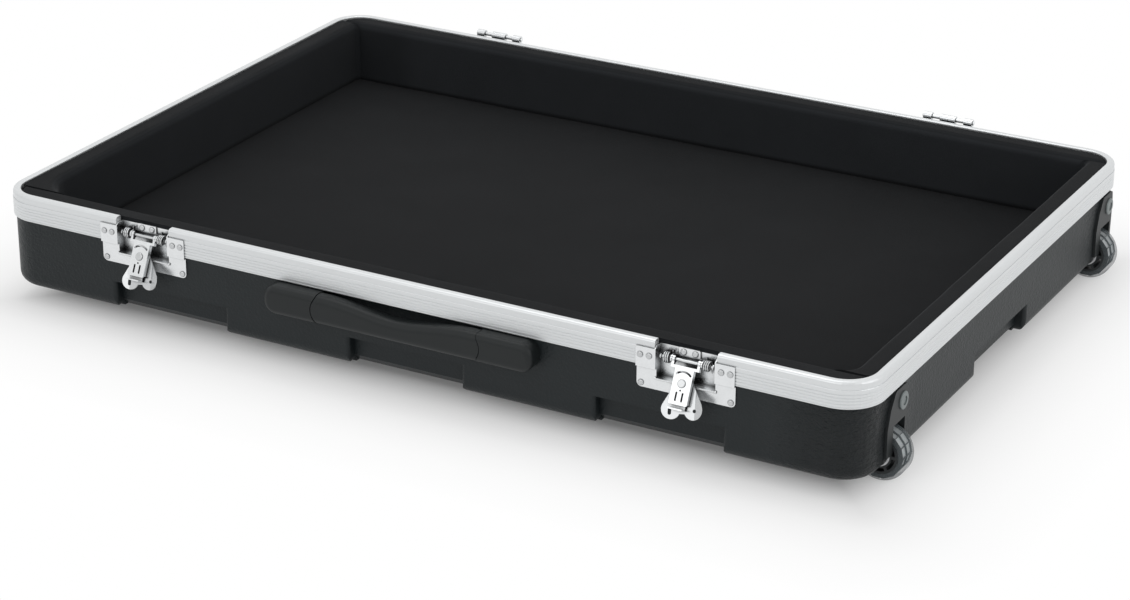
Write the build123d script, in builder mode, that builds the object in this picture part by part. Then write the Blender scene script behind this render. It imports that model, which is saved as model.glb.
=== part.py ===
from build123d import *
import os
from math import cos, pi, radians, sin, sqrt, tan

# Lower half of a wheeled mixer case. Millimetres, +Z up, front towards -Y, wheels at the +X end.
# The origin is the centre of the shell's flat underside.

# Overall sizes
CASE_WIDTH = 976.0
CASE_DEPTH = 672.0
RIM_HEIGHT = 103.0
CORNER_RADIUS = 39.0

# Moulded shell
WALL = 4.0
EDGE_RADIUS = 12.0
FLOOR_FILLET = 7.0

# Aluminium valance: skirt outside the wall, bead over its edge, leg inside it
SKIRT = 2.6
SKIRT_HEIGHT = 27.1
BEAD_HEIGHT = 7.2
BEAD_STEP = 0.4
BEAD_ROUND = 3.3
BEAD_INNER_ROUND = 1.3
LEG = 2.0
LEG_HEIGHT = 6.0
GROOVE_DEPTH = 0.7
GROOVE_HEIGHT = 1.1

# Foam lining
FOAM_WALL = 22.0
FOAM_FLOOR_TOP = 31.0
FOAM_BELOW_RIM = 4.5
FOAM_GAP = 0.4
FOAM_ROUND = 11.0
FOAM_STEP = 5.5
FOAM_STEP_HEIGHT = 5.5

# Notches between the feet in the lower edge
NOTCH_HEIGHT = 30.7
NOTCH_DEPTH = 11.0
NOTCH_CHAMFER = 8.0
FOOT_ROUND = 7.0
FOOT_EDGE_ROUND = 4.0
SIDE_NOTCH_X = CASE_WIDTH / 2 - 211.0
SIDE_NOTCH_WIDTH = 134.0
MIDDLE_NOTCH_WIDTH = 128.0
END_NOTCH_WIDTH = 132.0

# Latches
LATCH_X = CASE_WIDTH / 2 - 182.5
PLATE = 1.2
PLATE_HALF = 51.0
PLATE_LOW = RIM_HEIGHT - 50.0
PLATE_TOP = RIM_HEIGHT - 8.0
PLATE_CORNER = 5.0
DISH_HALF = 30.5
DISH_DEPTH = 10.0
DISH_LOW = RIM_HEIGHT - 37.5
DISH_TOP = RIM_HEIGHT - 5.5
DISH_ROUND = 4.0
DISH_SLACK = 0.4
LIP_RADIUS = 1.5
RIVET_HEAD = 3.05
RIVET_HEAD_HEIGHT = 1.7
RIVET_SHANK = 1.5
RIVET_SLACK = 0.1
RIVET_Z = RIM_HEIGHT - 16.1
LOW_RIVET_Z = RIM_HEIGHT - 45.6
RIVET_OUTER_X = 46.4
RIVET_INNER_X = 37.1
RIVET_TAIL = 1.3
RIVET_TAIL_STEP = 0.8

# Latch mechanism, hanging open; distances below the pivot run along the link
PIVOT_INSET = 4.4
PIVOT_Z = RIM_HEIGHT - 15.6
PIVOT_RADIUS = 1.5
PIVOT_HALF = 26.4
PIVOT_SLACK = 0.08
LINK_LEAN = 25.5
BAIL_HALF = 14.5
BAIL_ARM = 2.5
EYE_RADIUS = 3.4
LINK_HALF = 9.5
LINK_SHEET = 1.5
LINK_TOP = 6.0
LINK_END = 41.0
LINK_FACE = 1.0
FLANGE_DROP = 3.2
POST_DROP = 21.0
POST_RADIUS = 2.0
POST_HEAD = 4.0
ARC_RADIUS = 11.0
ARC_HALF_ANGLE = 40.0
SLOT_WIDTH = 2.0
SLOT_LENGTH = 9.0
HOOK_HALF = 7.4
HOOK_SHEET = 1.4
HOOK_GAP = 0.4
HOOK_TRAVEL = 2.2
HOOK_CLAW = 6.0
HOOK_CLEARANCE = 3.2
WING_SHEET = 1.2
WING_FACE = -3.0
WING_LOBE = 9.5
WING_LOBE_X = 11.2
WING_LOBE_DROP = 23.5
WING_NECK = 5.0
WING_BEND_X = 12.5
WING_BEND = 12.0
WING_REST = 9.0
WING_HOLE = 3.4
WING_SLOT = 7.0
BRACKET_SHEET = 1.5
BRACKET_TAB = (22.0, 12.0)
BRACKET_TAB_RISE = 5.0
BRACKET_RIVET_X = 6.0
BRACKET_RIVET_Z = RIM_HEIGHT - 8.8
EAR_SHEET = 1.5
EAR_RADIUS = 3.5
EAR_GAP = 0.4
SPRING_WIRE = 1.4
SPRING_RADIUS = 4.6
SPRING_PITCH = 1.95
SPRING_TURNS = 3
SPRING_LEG = 6.0
SPRING_GAP = 0.6

# Hinge halves on the back
HINGE_X = CASE_WIDTH / 2 - 205.0
HINGE_WIDTH = 57.0
HINGE_OUT = 6.0
HINGE_Z = RIM_HEIGHT + 0.4
HINGE_ROD = 2.3
HINGE_SLACK = 0.08
KNUCKLE_RADIUS = 4.2
KNUCKLE_MIDDLE = 17.6
KNUCKLE_END = 9.8
LEAF = 1.5
LEAF_LOW = RIM_HEIGHT - 23.0
HINGE_RIVET_Z = RIM_HEIGHT - 16.0

# Carrying handle
HANDLE_HEIGHT = 29.6
HANDLE_Z = RIM_HEIGHT - 42.7
HANDLE_OUT = 7.0
HANDLE_THICK = 20.0
GRIP_HALF = 98.0
GRIP_DOME = 8.0
GRIP_WAIST = 8.0
GRIP_ROUND = 7.5
CAP_END = 151.3
CAP_GAP = 0.6
CAP_ROUND = 6.5
TRUNNION_RADIUS = 4.0
TRUNNION_LENGTH = 8.0
CAP_SCREW_XS = (118.0, 138.0)
CAP_SCREW_DEPTH = 11.5
CAP_SCREW_HEAD = 4.0
RECESS_HALF = 103.0
RECESS_DEPTH = 14.0
RECESS_HEIGHT = 34.0

# Wheels
WHEEL_RADIUS = 27.3
WHEEL_WIDTH = 24.0
WHEEL_X = CASE_WIDTH / 2 - 13.6
WHEEL_Z = 7.3
WHEEL_YS = {"front": 75.0 - CASE_DEPTH / 2, "back": CASE_DEPTH / 2 - 51.0}
FORK_RIVET_Y = 7.0
FORK_RIVET_Z = RIM_HEIGHT - 44.1
FORK_RIVET_HEAD = 9.0
FORK_PLATE = 3.0
FORK_ARM = 3.5
FORK_GAP = 1.2
FORK_TOP = 40.3
FORK_LOW = 12.0
FORK_SIDE = 26.4
FORK_SHOULDER = 20.5
FORK_CROWN = 74.0
FORK_CORNER = 5.0
AXLE_RADIUS = 4.0
BEARING_RADIUS = 11.0
BEARING_WIDTH = 7.0
HUB_RADIUS = 19.0
RUN_SLACK = 0.05
POCKET_LEFT = 27.0
POCKET_RIGHT = 20.0
POCKET_BEHIND = 3.5

# Rest feet at the end away from the wheels
FOOT_HEIGHT = 20.0
FOOT_RADIUS = 16.0
FOOT_X = 58.0 - CASE_WIDTH / 2
FOOT_Y = CASE_DEPTH / 2 - 86.0
FOOT_SCREW = 2.4

# Pull-out tow handle at the end away from the wheels
TOW_HALF = 72.0
TOW_HEIGHT = 17.0
TOW_Z = 18.0
TOW_BAR = 10.0
TOW_POCKET_DEPTH = 22.0
TOW_POCKET_HEIGHT = 31.0
TUBE = 16.0
TUBE_WALL = 1.2
TUBE_SLACK = 0.4
TUBE_Y = 52.0
TUBE_LENGTH = 430.0
CLAMP_START = 60.0
CLAMP_END = 30.0
CLAMP_WIDTH = 20.0

# Sizes that follow from those above
SHELL_TOP = RIM_HEIGHT - BEAD_HEIGHT
SHELL_INSET = SKIRT
INNER_INSET = SKIRT + WALL
BEAD_INSET = INNER_INSET + LEG
SKIRT_LOW = RIM_HEIGHT - SKIRT_HEIGHT
FOAM_OUTER = BEAD_INSET + FOAM_GAP
FOAM_INNER = FOAM_OUTER + FOAM_WALL
FOAM_TOP = RIM_HEIGHT - FOAM_BELOW_RIM
FLOOR_INSET = FOAM_INNER - FOAM_STEP
OUTSIDE = 30.0


def write(part, name):
    part.label = name
    export_step(part, f"parts/{name}.step")


def outline(inset, mode=Mode.ADD):
    """Rounded plan of the case, drawn in from the valance's outer face."""
    width = CASE_WIDTH - 2 * inset
    depth = CASE_DEPTH - 2 * inset
    RectangleRounded(width, depth, CORNER_RADIUS - inset, mode=mode)


def front(inset, x=0.0, z=0.0):
    """Plane on the front, x to the right, y up and its normal outwards."""
    return Plane((x, inset - CASE_DEPTH / 2, z), x_dir=(1, 0, 0), z_dir=(0, -1, 0))


def back(inset, x=0.0, z=0.0):
    return Plane((x, CASE_DEPTH / 2 - inset, z), x_dir=(-1, 0, 0), z_dir=(0, 1, 0))


def right(inset, y=0.0, z=0.0):
    return Plane((CASE_WIDTH / 2 - inset, y, z), x_dir=(0, 1, 0), z_dir=(1, 0, 0))


def left(inset, y=0.0, z=0.0):
    return Plane((inset - CASE_WIDTH / 2, y, z), x_dir=(0, -1, 0), z_dir=(-1, 0, 0))


def cut_inward(shape, depth):
    """Cut a sketch that is drawn OUTSIDE the valance to a depth inside the valance's face."""
    extrude(shape.sketch, amount=-(OUTSIDE + depth), mode=Mode.SUBTRACT)


def cut_notch(side, width, grow):
    """One recess in the lower edge, its bottom chamfered, centred on the side plane's origin."""
    reach = SHELL_INSET + NOTCH_DEPTH
    below = OUTSIDE
    profile = Plane(side.origin, x_dir=-side.z_dir, z_dir=side.x_dir)
    with BuildSketch(profile) as section:
        with BuildLine():
            Polyline(
                (-OUTSIDE, -below),
                (reach + NOTCH_CHAMFER + below, -below),
                (reach, NOTCH_CHAMFER),
                (reach, NOTCH_HEIGHT),
                (-OUTSIDE, NOTCH_HEIGHT),
                close=True,
            )
        make_face()
        if grow:
            offset(amount=grow, kind=Kind.INTERSECTION)
    extrude(section.sketch, amount=width / 2 + grow, both=True, mode=Mode.SUBTRACT)


def spandrel(corner, radius, across, up):
    """What a quarter round takes off a square corner; across and up point away from the notch."""
    x, y = corner
    with BuildSketch(mode=Mode.PRIVATE) as shape:
        with Locations((x + across * radius / 2, y + up * radius / 2)):
            Rectangle(radius, radius)
        with Locations((x + across * radius, y + up * radius)):
            Circle(radius, mode=Mode.SUBTRACT)
    return shape.sketch


def round_feet(side, width):
    """Rounds the lower corners and the outer edges of the feet beside one notch."""
    reach = SHELL_INSET + NOTCH_DEPTH
    skin = Plane(side.origin - side.z_dir * SHELL_INSET, x_dir=side.x_dir, z_dir=side.z_dir)
    plan = Plane(skin.origin, x_dir=skin.x_dir, z_dir=skin.x_dir.cross(-skin.z_dir))
    for end in (-1, 1):
        corner = (end * width / 2, 0)
        with BuildSketch(skin) as low:
            add(spandrel(corner, FOOT_ROUND, end, 1))
        extrude(low.sketch, amount=-reach, mode=Mode.SUBTRACT)
        with BuildSketch(plan) as edge:
            add(spandrel(corner, FOOT_EDGE_ROUND, end, 1))
        extrude(edge.sketch, amount=NOTCH_HEIGHT, both=True, mode=Mode.SUBTRACT)


def cut_notches(grow):
    sides = [
        (front(0, -SIDE_NOTCH_X), SIDE_NOTCH_WIDTH),
        (front(0), MIDDLE_NOTCH_WIDTH),
        (front(0, SIDE_NOTCH_X), SIDE_NOTCH_WIDTH),
        (back(0, -SIDE_NOTCH_X), SIDE_NOTCH_WIDTH),
        (back(0), MIDDLE_NOTCH_WIDTH),
        (back(0, SIDE_NOTCH_X), SIDE_NOTCH_WIDTH),
        (right(0), END_NOTCH_WIDTH),
    ]
    for side, width in sides:
        cut_notch(side, width, grow)
        if not grow:
            round_feet(side, width)


def cut_latch_pockets(grow):
    low = DISH_LOW - PLATE - DISH_SLACK - LIP_RADIUS - grow
    half = DISH_HALF + PLATE + DISH_SLACK + grow
    for x in (-LATCH_X, LATCH_X):
        with BuildSketch(front(-OUTSIDE, x, low)) as opening:
            Rectangle(2 * half, RIM_HEIGHT, align=(Align.CENTER, Align.MIN))
        cut_inward(opening, DISH_DEPTH + PLATE + DISH_SLACK + grow)


def cut_finger_recess(grow):
    with BuildSketch(front(-OUTSIDE, 0, HANDLE_Z)) as opening:
        RectangleRounded(2 * (RECESS_HALF + grow), RECESS_HEIGHT + 2 * grow, EDGE_RADIUS)
    cut_inward(opening, SHELL_INSET + RECESS_DEPTH + grow)


def cut_wheel_pockets(grow):
    start = WHEEL_X - WHEEL_RADIUS - POCKET_BEHIND - grow
    width = POCKET_LEFT + POCKET_RIGHT + 2 * grow
    for y in WHEEL_YS.values():
        with BuildSketch(Plane((start, y - POCKET_LEFT - grow, -OUTSIDE))) as well:
            Rectangle(CASE_WIDTH, width, align=(Align.MIN, Align.MIN))
        height = OUTSIDE + FORK_TOP + POCKET_BEHIND + grow
        extrude(well.sketch, amount=height, mode=Mode.SUBTRACT)


def cut_tow_pocket(grow):
    low = TOW_Z - TOW_HEIGHT / 2 - FOAM_GAP - grow
    with BuildSketch(left(-OUTSIDE, 0, low)) as opening:
        size = (2 * (TOW_HALF + WALL + grow), TOW_POCKET_HEIGHT + 2 * grow)
        Rectangle(*size, align=(Align.CENTER, Align.MIN))
    cut_inward(opening, SHELL_INSET + TOW_POCKET_DEPTH + grow)


def cut_pockets(grow):
    """Every moulded recess; grown by the wall it is the recess's back as seen from inside."""
    cut_notches(grow)
    cut_latch_pockets(grow)
    cut_finger_recess(grow)
    cut_wheel_pockets(grow)
    cut_tow_pocket(grow)


def outermost(edges, plane):
    """The edge that stands furthest out along a plane's normal."""
    return edges.sort_by(lambda edge: plane.to_local_coords(edge.center()).Z)[-1]


def drill(plane, places, radius, depth):
    """Round holes from a face plane inwards."""
    with BuildSketch(plane) as holes:
        with Locations(*places):
            Circle(radius)
    extrude(holes.sketch, amount=-depth, both=True, mode=Mode.SUBTRACT)


def plate_rivets(x):
    upper = [(x + side * dx, RIVET_Z) for side in (-1, 1) for dx in (RIVET_OUTER_X, RIVET_INNER_X)]
    lower = [(x + side * RIVET_OUTER_X, LOW_RIVET_Z) for side in (-1, 1)]
    return upper, lower


HINGE_RIVETS = [(step * HINGE_WIDTH / 3, HINGE_RIVET_Z) for step in (-1, 0, 1)]
CAP_SCREWS = [(side * x, HANDLE_Z) for side in (-1, 1) for x in CAP_SCREW_XS]
FOOT_PLACES = [(FOOT_X, side * FOOT_Y) for side in (-1, 1)]
POCKET_BACK_X = -CASE_WIDTH / 2 + SHELL_INSET + TOW_POCKET_DEPTH


def make_shell():
    with BuildPart() as cavity:
        with BuildSketch(Plane.XY.offset(WALL)):
            outline(INNER_INSET)
        extrude(amount=RIM_HEIGHT)
        fillet(cavity.faces().sort_by(Axis.Z)[0].edges(), FLOOR_FILLET)
        cut_pockets(WALL)
    with BuildPart() as shell:
        with BuildSketch():
            outline(SHELL_INSET)
        extrude(amount=SHELL_TOP)
        fillet(shell.faces().sort_by(Axis.Z)[0].edges(), EDGE_RADIUS)
        add(cavity.part, mode=Mode.SUBTRACT)
        cut_pockets(0)
        for x in (-LATCH_X, LATCH_X):
            upper, lower = plate_rivets(x)
            drill(front(SHELL_INSET), upper + lower, RIVET_SHANK + RIVET_SLACK, 2 * WALL)
            with BuildSketch(front(INNER_INSET)):
                with Locations(*upper):
                    Circle(RIVET_SHANK + RIVET_TAIL_STEP + RIVET_SLACK)
            extrude(amount=-(RIVET_TAIL + RIVET_SLACK), mode=Mode.SUBTRACT)
        for x in (-HINGE_X, HINGE_X):
            drill(back(SHELL_INSET, -x), HINGE_RIVETS, RIVET_SHANK + RIVET_SLACK, 2 * WALL)
        drill(front(SHELL_INSET), CAP_SCREWS, RIVET_SHANK + RIVET_SLACK, 2 * WALL)
        for y in WHEEL_YS.values():
            place = [(y + FORK_RIVET_Y, FORK_RIVET_Z)]
            drill(right(SHELL_INSET), place, AXLE_RADIUS + RIVET_SLACK, 2 * WALL)
        drill(Plane.XY, FOOT_PLACES, FOOT_SCREW + RIVET_SLACK, 2 * WALL)
        for side in (-1, 1):
            with BuildSketch(Plane.YZ.offset(POCKET_BACK_X)):
                with Locations((side * TUBE_Y, TOW_Z)):
                    Rectangle(TUBE + TUBE_SLACK, TUBE + TUBE_SLACK)
            extrude(amount=WALL + 1, mode=Mode.SUBTRACT)
    write(shell.part, "base_shell")


def make_valance():
    with BuildPart() as rim:
        with BuildSketch(Plane.XY.offset(SKIRT_LOW)):
            outline(0)
            outline(SKIRT, mode=Mode.SUBTRACT)
        extrude(amount=SKIRT_HEIGHT - BEAD_HEIGHT)
        with BuildSketch(Plane.XY.offset(SHELL_TOP - LEG_HEIGHT)):
            outline(INNER_INSET)
            outline(BEAD_INSET, mode=Mode.SUBTRACT)
        extrude(amount=LEG_HEIGHT)
        with BuildSketch(Plane.XY.offset(SHELL_TOP)):
            outline(BEAD_STEP)
            outline(BEAD_INSET, mode=Mode.SUBTRACT)
        extrude(amount=BEAD_HEIGHT)
        top = rim.faces().sort_by(Axis.Z)[-1]
        fillet(top.outer_wire().edges(), BEAD_ROUND)
        top = rim.faces().sort_by(Axis.Z)[-1]
        fillet(top.inner_wires()[0].edges(), BEAD_INNER_ROUND)
        with BuildSketch(Plane.XY.offset(SHELL_TOP - GROOVE_HEIGHT)):
            outline(-1)
            outline(GROOVE_DEPTH, mode=Mode.SUBTRACT)
        extrude(amount=GROOVE_HEIGHT, mode=Mode.SUBTRACT)
        for x in (-LATCH_X, LATCH_X):
            with BuildSketch(front(-OUTSIDE, x, SKIRT_LOW - 1)):
                half = DISH_HALF + PLATE + DISH_SLACK
                Rectangle(2 * half, 2 * SKIRT_HEIGHT, align=(Align.CENTER, Align.MIN))
            extrude(amount=-(OUTSIDE + BEAD_INSET + 1), mode=Mode.SUBTRACT)
            with BuildSketch(Plane.XY.offset(SHELL_TOP)):
                with Locations((x, INNER_INSET - CASE_DEPTH / 2)):
                    size = (2 * (half + WALL + FOAM_GAP), LEG + 1)
                    Rectangle(*size, align=(Align.CENTER, Align.MIN))
            extrude(amount=-(LEG_HEIGHT + 1), mode=Mode.SUBTRACT)
            drill(front(0), plate_rivets(x)[0], RIVET_SHANK + RIVET_SLACK, SKIRT + 1)
        for x in (-HINGE_X, HINGE_X):
            drill(back(0, -x), HINGE_RIVETS, RIVET_SHANK + RIVET_SLACK, SKIRT + 1)
    pieces = rim.part.solids().sort_by(lambda solid: solid.bounding_box().size.Y)
    write(pieces[0], "rim_valance_front")
    write(pieces[-1], "rim_valance")


def foam_profile(side):
    """Section of a wall pad, from its outer face inwards, stepped over the notches' backs."""
    step = FOAM_FLOOR_TOP + FOAM_STEP_HEIGHT
    profile = Plane(side.origin, x_dir=-side.z_dir, z_dir=side.x_dir)
    with BuildSketch(profile) as section:
        with BuildLine():
            Polyline(
                (FOAM_OUTER, step),
                (FLOOR_INSET, step),
                (FLOOR_INSET, FOAM_FLOOR_TOP),
                (FOAM_INNER, FOAM_FLOOR_TOP),
                (FOAM_INNER, FOAM_TOP),
                (FOAM_OUTER, FOAM_TOP),
                close=True,
            )
        make_face()
        crown = section.vertices().group_by(Axis.Y)[-1]
        fillet(crown.sort_by(Axis.X)[-1], FOAM_ROUND)
    return section.sketch


def make_foam():
    with BuildPart() as floor:
        with BuildSketch(Plane.XY.offset(WALL + 1)):
            outline(FLOOR_INSET + FOAM_GAP)
        extrude(amount=FOAM_FLOOR_TOP - WALL - 1)
        cut_pockets(WALL + FOAM_GAP)
        for side in (-1, 1):
            with BuildSketch(Plane.XY.offset(WALL)):
                with Locations((POCKET_BACK_X, side * TUBE_Y)):
                    size = (TUBE_LENGTH + 12, TUBE + 10)
                    Rectangle(*size, align=(Align.MIN, Align.CENTER))
            extrude(amount=TOW_Z + TUBE / 2 + 1 - WALL, mode=Mode.SUBTRACT)
    write(floor.part, "foam_floor")

    half_width = CASE_WIDTH / 2
    half_depth = CASE_DEPTH / 2
    inside_x = half_width - FOAM_INNER - FOAM_GAP
    pads = {
        "foam_wall_front": (front(0), half_width),
        "foam_wall_back": (back(0), half_width),
        "foam_wall_left": (left(0), half_depth - FOAM_INNER),
        "foam_wall_right": (right(0), half_depth - FOAM_INNER),
    }
    for name, (side, reach) in pads.items():
        with BuildPart() as pad:
            extrude(foam_profile(side), amount=reach, both=True)
            if name == "foam_wall_right":
                for y in WHEEL_YS.values():
                    low = y - POCKET_LEFT - WALL - FOAM_STEP
                    high = min(y + POCKET_RIGHT + WALL + FOAM_STEP, half_depth - FOAM_INNER)
                    top = FORK_TOP + POCKET_BEHIND + WALL + FOAM_STEP
                    start = WHEEL_X - WHEEL_RADIUS - POCKET_BEHIND - WALL - FOAM_STEP
                    with BuildSketch(Plane.XY.offset(FOAM_FLOOR_TOP)):
                        with Locations((start, low)):
                            size = (half_width - FOAM_OUTER - start, high - low)
                            Rectangle(*size, align=(Align.MIN, Align.MIN))
                    extrude(amount=top - FOAM_FLOOR_TOP)
            with BuildSketch(Plane.XY):
                outline(FOAM_OUTER)
            extrude(amount=RIM_HEIGHT, mode=Mode.INTERSECT)
            cut_pockets(WALL + FOAM_GAP)
        write(pad.part, name)


def dish_profile():
    """Side section of the latch plate: over the skirt above, joggled back to the shell below."""
    joggle = SKIRT_LOW - 0.3
    y = -CASE_DEPTH / 2
    return [
        (y - PLATE, PLATE_TOP),
        (y, PLATE_TOP),
        (y, joggle),
        (y + SKIRT, joggle),
        (y + SKIRT, PLATE_LOW),
        (y + SKIRT - PLATE, PLATE_LOW),
        (y + SKIRT - PLATE, joggle - PLATE),
        (y - PLATE, joggle - PLATE),
    ]


def make_dish(name, x):
    y = -CASE_DEPTH / 2
    joggle = SKIRT_LOW - 0.3 - PLATE
    upper, lower = plate_rivets(x)
    with BuildPart() as dish:
        with BuildSketch(Plane.YZ.offset(x)):
            with BuildLine():
                Polyline(*dish_profile(), close=True)
            make_face()
        extrude(amount=PLATE_HALF, both=True)
        low_corners = dish.edges().filter_by(Axis.Y).group_by(Axis.Z)[0]
        fillet(low_corners, PLATE_CORNER)
        with BuildSketch(Plane.YZ.offset(x)):
            with BuildLine():
                Polyline(
                    (y + SKIRT - PLATE, DISH_LOW - PLATE),
                    (y + DISH_DEPTH + PLATE, DISH_LOW - PLATE),
                    (y + DISH_DEPTH + PLATE, DISH_TOP),
                    (y + SKIRT, DISH_TOP),
                    (y - PLATE, PLATE_TOP),
                    (y - PLATE, joggle),
                    (y + SKIRT - PLATE, joggle),
                    close=True,
                )
            make_face()
        extrude(amount=DISH_HALF + PLATE, both=True)
        lip = Plane.YZ.offset(x)
        with BuildSketch(lip):
            with Locations((y + SKIRT - PLATE, DISH_LOW - PLATE / 2)):
                Circle(LIP_RADIUS)
        extrude(amount=DISH_HALF + PLATE, both=True)
        with BuildSketch(Plane.YZ.offset(x)) as hollow:
            with Locations((y + DISH_DEPTH, DISH_LOW)):
                Rectangle(OUTSIDE, RIM_HEIGHT, align=(Align.MAX, Align.MIN))
            corner = hollow.vertices().group_by(Axis.Z)[0].sort_by(Axis.Y)[-1]
            fillet(corner, DISH_ROUND)
        extrude(amount=DISH_HALF, both=True, mode=Mode.SUBTRACT)
        drill(front(0), upper + lower, RIVET_SHANK + RIVET_SLACK, SKIRT + PLATE)
        drill(front(DISH_DEPTH, x), BRACKET_RIVETS, RIVET_SHANK + RIVET_SLACK, PLATE)
    write(dish.part, f"latch_dish_{name}")


def rivets(name, groups, tail=RIVET_TAIL):
    """Domed rivets; each group is a face plane, places on it and the grip under the head."""
    with BuildPart() as group:
        for plane, places, grip in groups:
            with BuildSketch(plane):
                with Locations(*places):
                    Circle(RIVET_HEAD)
            heads = extrude(amount=RIVET_HEAD_HEIGHT)
            tops = heads.faces().filter_by(lambda f: f.normal_at().dot(plane.z_dir) > 0.9)
            fillet(tops.edges(), RIVET_HEAD_HEIGHT - 0.3)
            with BuildSketch(plane):
                with Locations(*places):
                    Circle(RIVET_SHANK)
            extrude(amount=-grip)
            with BuildSketch(plane.offset(-grip)):
                with Locations(*places):
                    Circle(RIVET_SHANK + RIVET_TAIL_STEP)
            extrude(amount=-tail)
    write(group.part, name)


BRACKET_RIVETS = [(side * BRACKET_RIVET_X, BRACKET_RIVET_Z) for side in (-1, 1)]
LEAN = radians(LINK_LEAN)
PIVOT_Y = PIVOT_INSET - CASE_DEPTH / 2


def make_bracket(name, x):
    half = BAIL_HALF + EAR_GAP + EAR_SHEET
    wall_y = DISH_DEPTH - CASE_DEPTH / 2
    with BuildPart() as bracket:
        with BuildSketch(front(DISH_DEPTH, x, PIVOT_Z)):
            Rectangle(2 * half, 2 * EAR_RADIUS)
            with Locations((0, BRACKET_TAB_RISE)):
                RectangleRounded(*BRACKET_TAB, 2 * RIVET_TAIL_STEP)
        extrude(amount=BRACKET_SHEET)
        for side in (-1, 1):
            inner = x + side * (BAIL_HALF + EAR_GAP)
            with BuildSketch(Plane.YZ.offset(inner)):
                with Locations((PIVOT_Y, PIVOT_Z)):
                    Circle(EAR_RADIUS)
                    Rectangle(wall_y - PIVOT_Y, 2 * EAR_RADIUS, align=(Align.MIN, Align.CENTER))
                    Circle(PIVOT_RADIUS + PIVOT_SLACK, mode=Mode.SUBTRACT)
            extrude(amount=side * EAR_SHEET)
        drill(front(DISH_DEPTH, x), BRACKET_RIVETS, RIVET_SHANK + RIVET_SLACK, 2 * PLATE)
    write(bracket.part, f"latch_bracket_{name}")


def make_pivot_pin(name, x):
    with BuildPart() as pin:
        with BuildSketch(Plane.YZ.offset(x)):
            with Locations((PIVOT_Y, PIVOT_Z)):
                Circle(PIVOT_RADIUS)
        extrude(amount=PIVOT_HALF, both=True)
        for side in (-1, 1):
            with BuildSketch(Plane.YZ.offset(x + side * PIVOT_HALF)):
                with Locations((PIVOT_Y, PIVOT_Z)):
                    Circle(PIVOT_RADIUS + 1)
            extrude(amount=side * 1.2)
    write(pin.part, f"latch_pivot_pin_{name}")


def biarc(start, leaving, end, arriving):
    """Two arcs joining start to end with the given unit directions; builds edges in a BuildLine."""
    chord = end - start
    both = leaving + arriving
    a = both.dot(both) - 4
    b = -2 * chord.dot(both)
    reach = (-b - sqrt(b * b - 4 * a * chord.dot(chord))) / (2 * a)
    first = start + leaving * reach
    second = end - arriving * reach
    joint = (first + second) * 0.5
    TangentArc(start, joint, tangent=leaving)
    TangentArc(joint, end, tangent=(second - first).normalized())


def make_springs(name, x):
    """A pair of torsion springs; the coil starts up the dish's wall and ends down behind the bail."""
    turn = 2 * pi
    last = SPRING_TURNS * turn + LEAN
    quarters = 4 * SPRING_TURNS
    start_x = BAIL_HALF + EAR_GAP + EAR_SHEET + SPRING_GAP + SPRING_WIRE / 2

    def place(side, t):
        along = start_x + SPRING_PITCH * t / turn
        around = (PIVOT_Y + SPRING_RADIUS * cos(t), PIVOT_Z - SPRING_RADIUS * sin(t))
        return Vector(x + side * along, *around)

    def heading(side, t):
        rise = Vector(side * SPRING_PITCH / turn, -SPRING_RADIUS * sin(t), -SPRING_RADIUS * cos(t))
        return rise.normalized()

    with BuildPart() as springs:
        for side in (-1, 1):
            stops = [last * i / quarters for i in range(quarters + 1)]
            top = place(side, 0) - heading(side, 0) * SPRING_LEG
            with BuildLine() as wire:
                Line(top, place(side, 0))
                for a, b in zip(stops, stops[1:]):
                    biarc(place(side, a), heading(side, a), place(side, b), heading(side, b))
                Line(place(side, last), place(side, last) + heading(side, last) * SPRING_LEG)
            with BuildSketch(Plane(top, z_dir=heading(side, 0))):
                Circle(SPRING_WIRE / 2)
            sweep(path=wire.wires()[0])
    points = [place(1, last * i / 400) for i in range(401)]
    per_turn = int(400 * turn / last)
    gaps = [
        (points[i] - points[j]).length - SPRING_WIRE
        for i in range(401)
        for j in range(i + per_turn // 2, 401)
    ]
    print(f"latch_springs_{name}: least gap between turns {min(gaps):.2f} mm")
    write(springs.part, f"latch_springs_{name}")


def link_plane(x, out=0.0):
    """On the pivot, x along it, y up the link, its normal out of the link's face."""
    normal = Vector(0, -cos(LEAN), sin(LEAN))
    return Plane(Vector(x, PIVOT_Y, PIVOT_Z) + normal * out, x_dir=(1, 0, 0), z_dir=normal)


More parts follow.
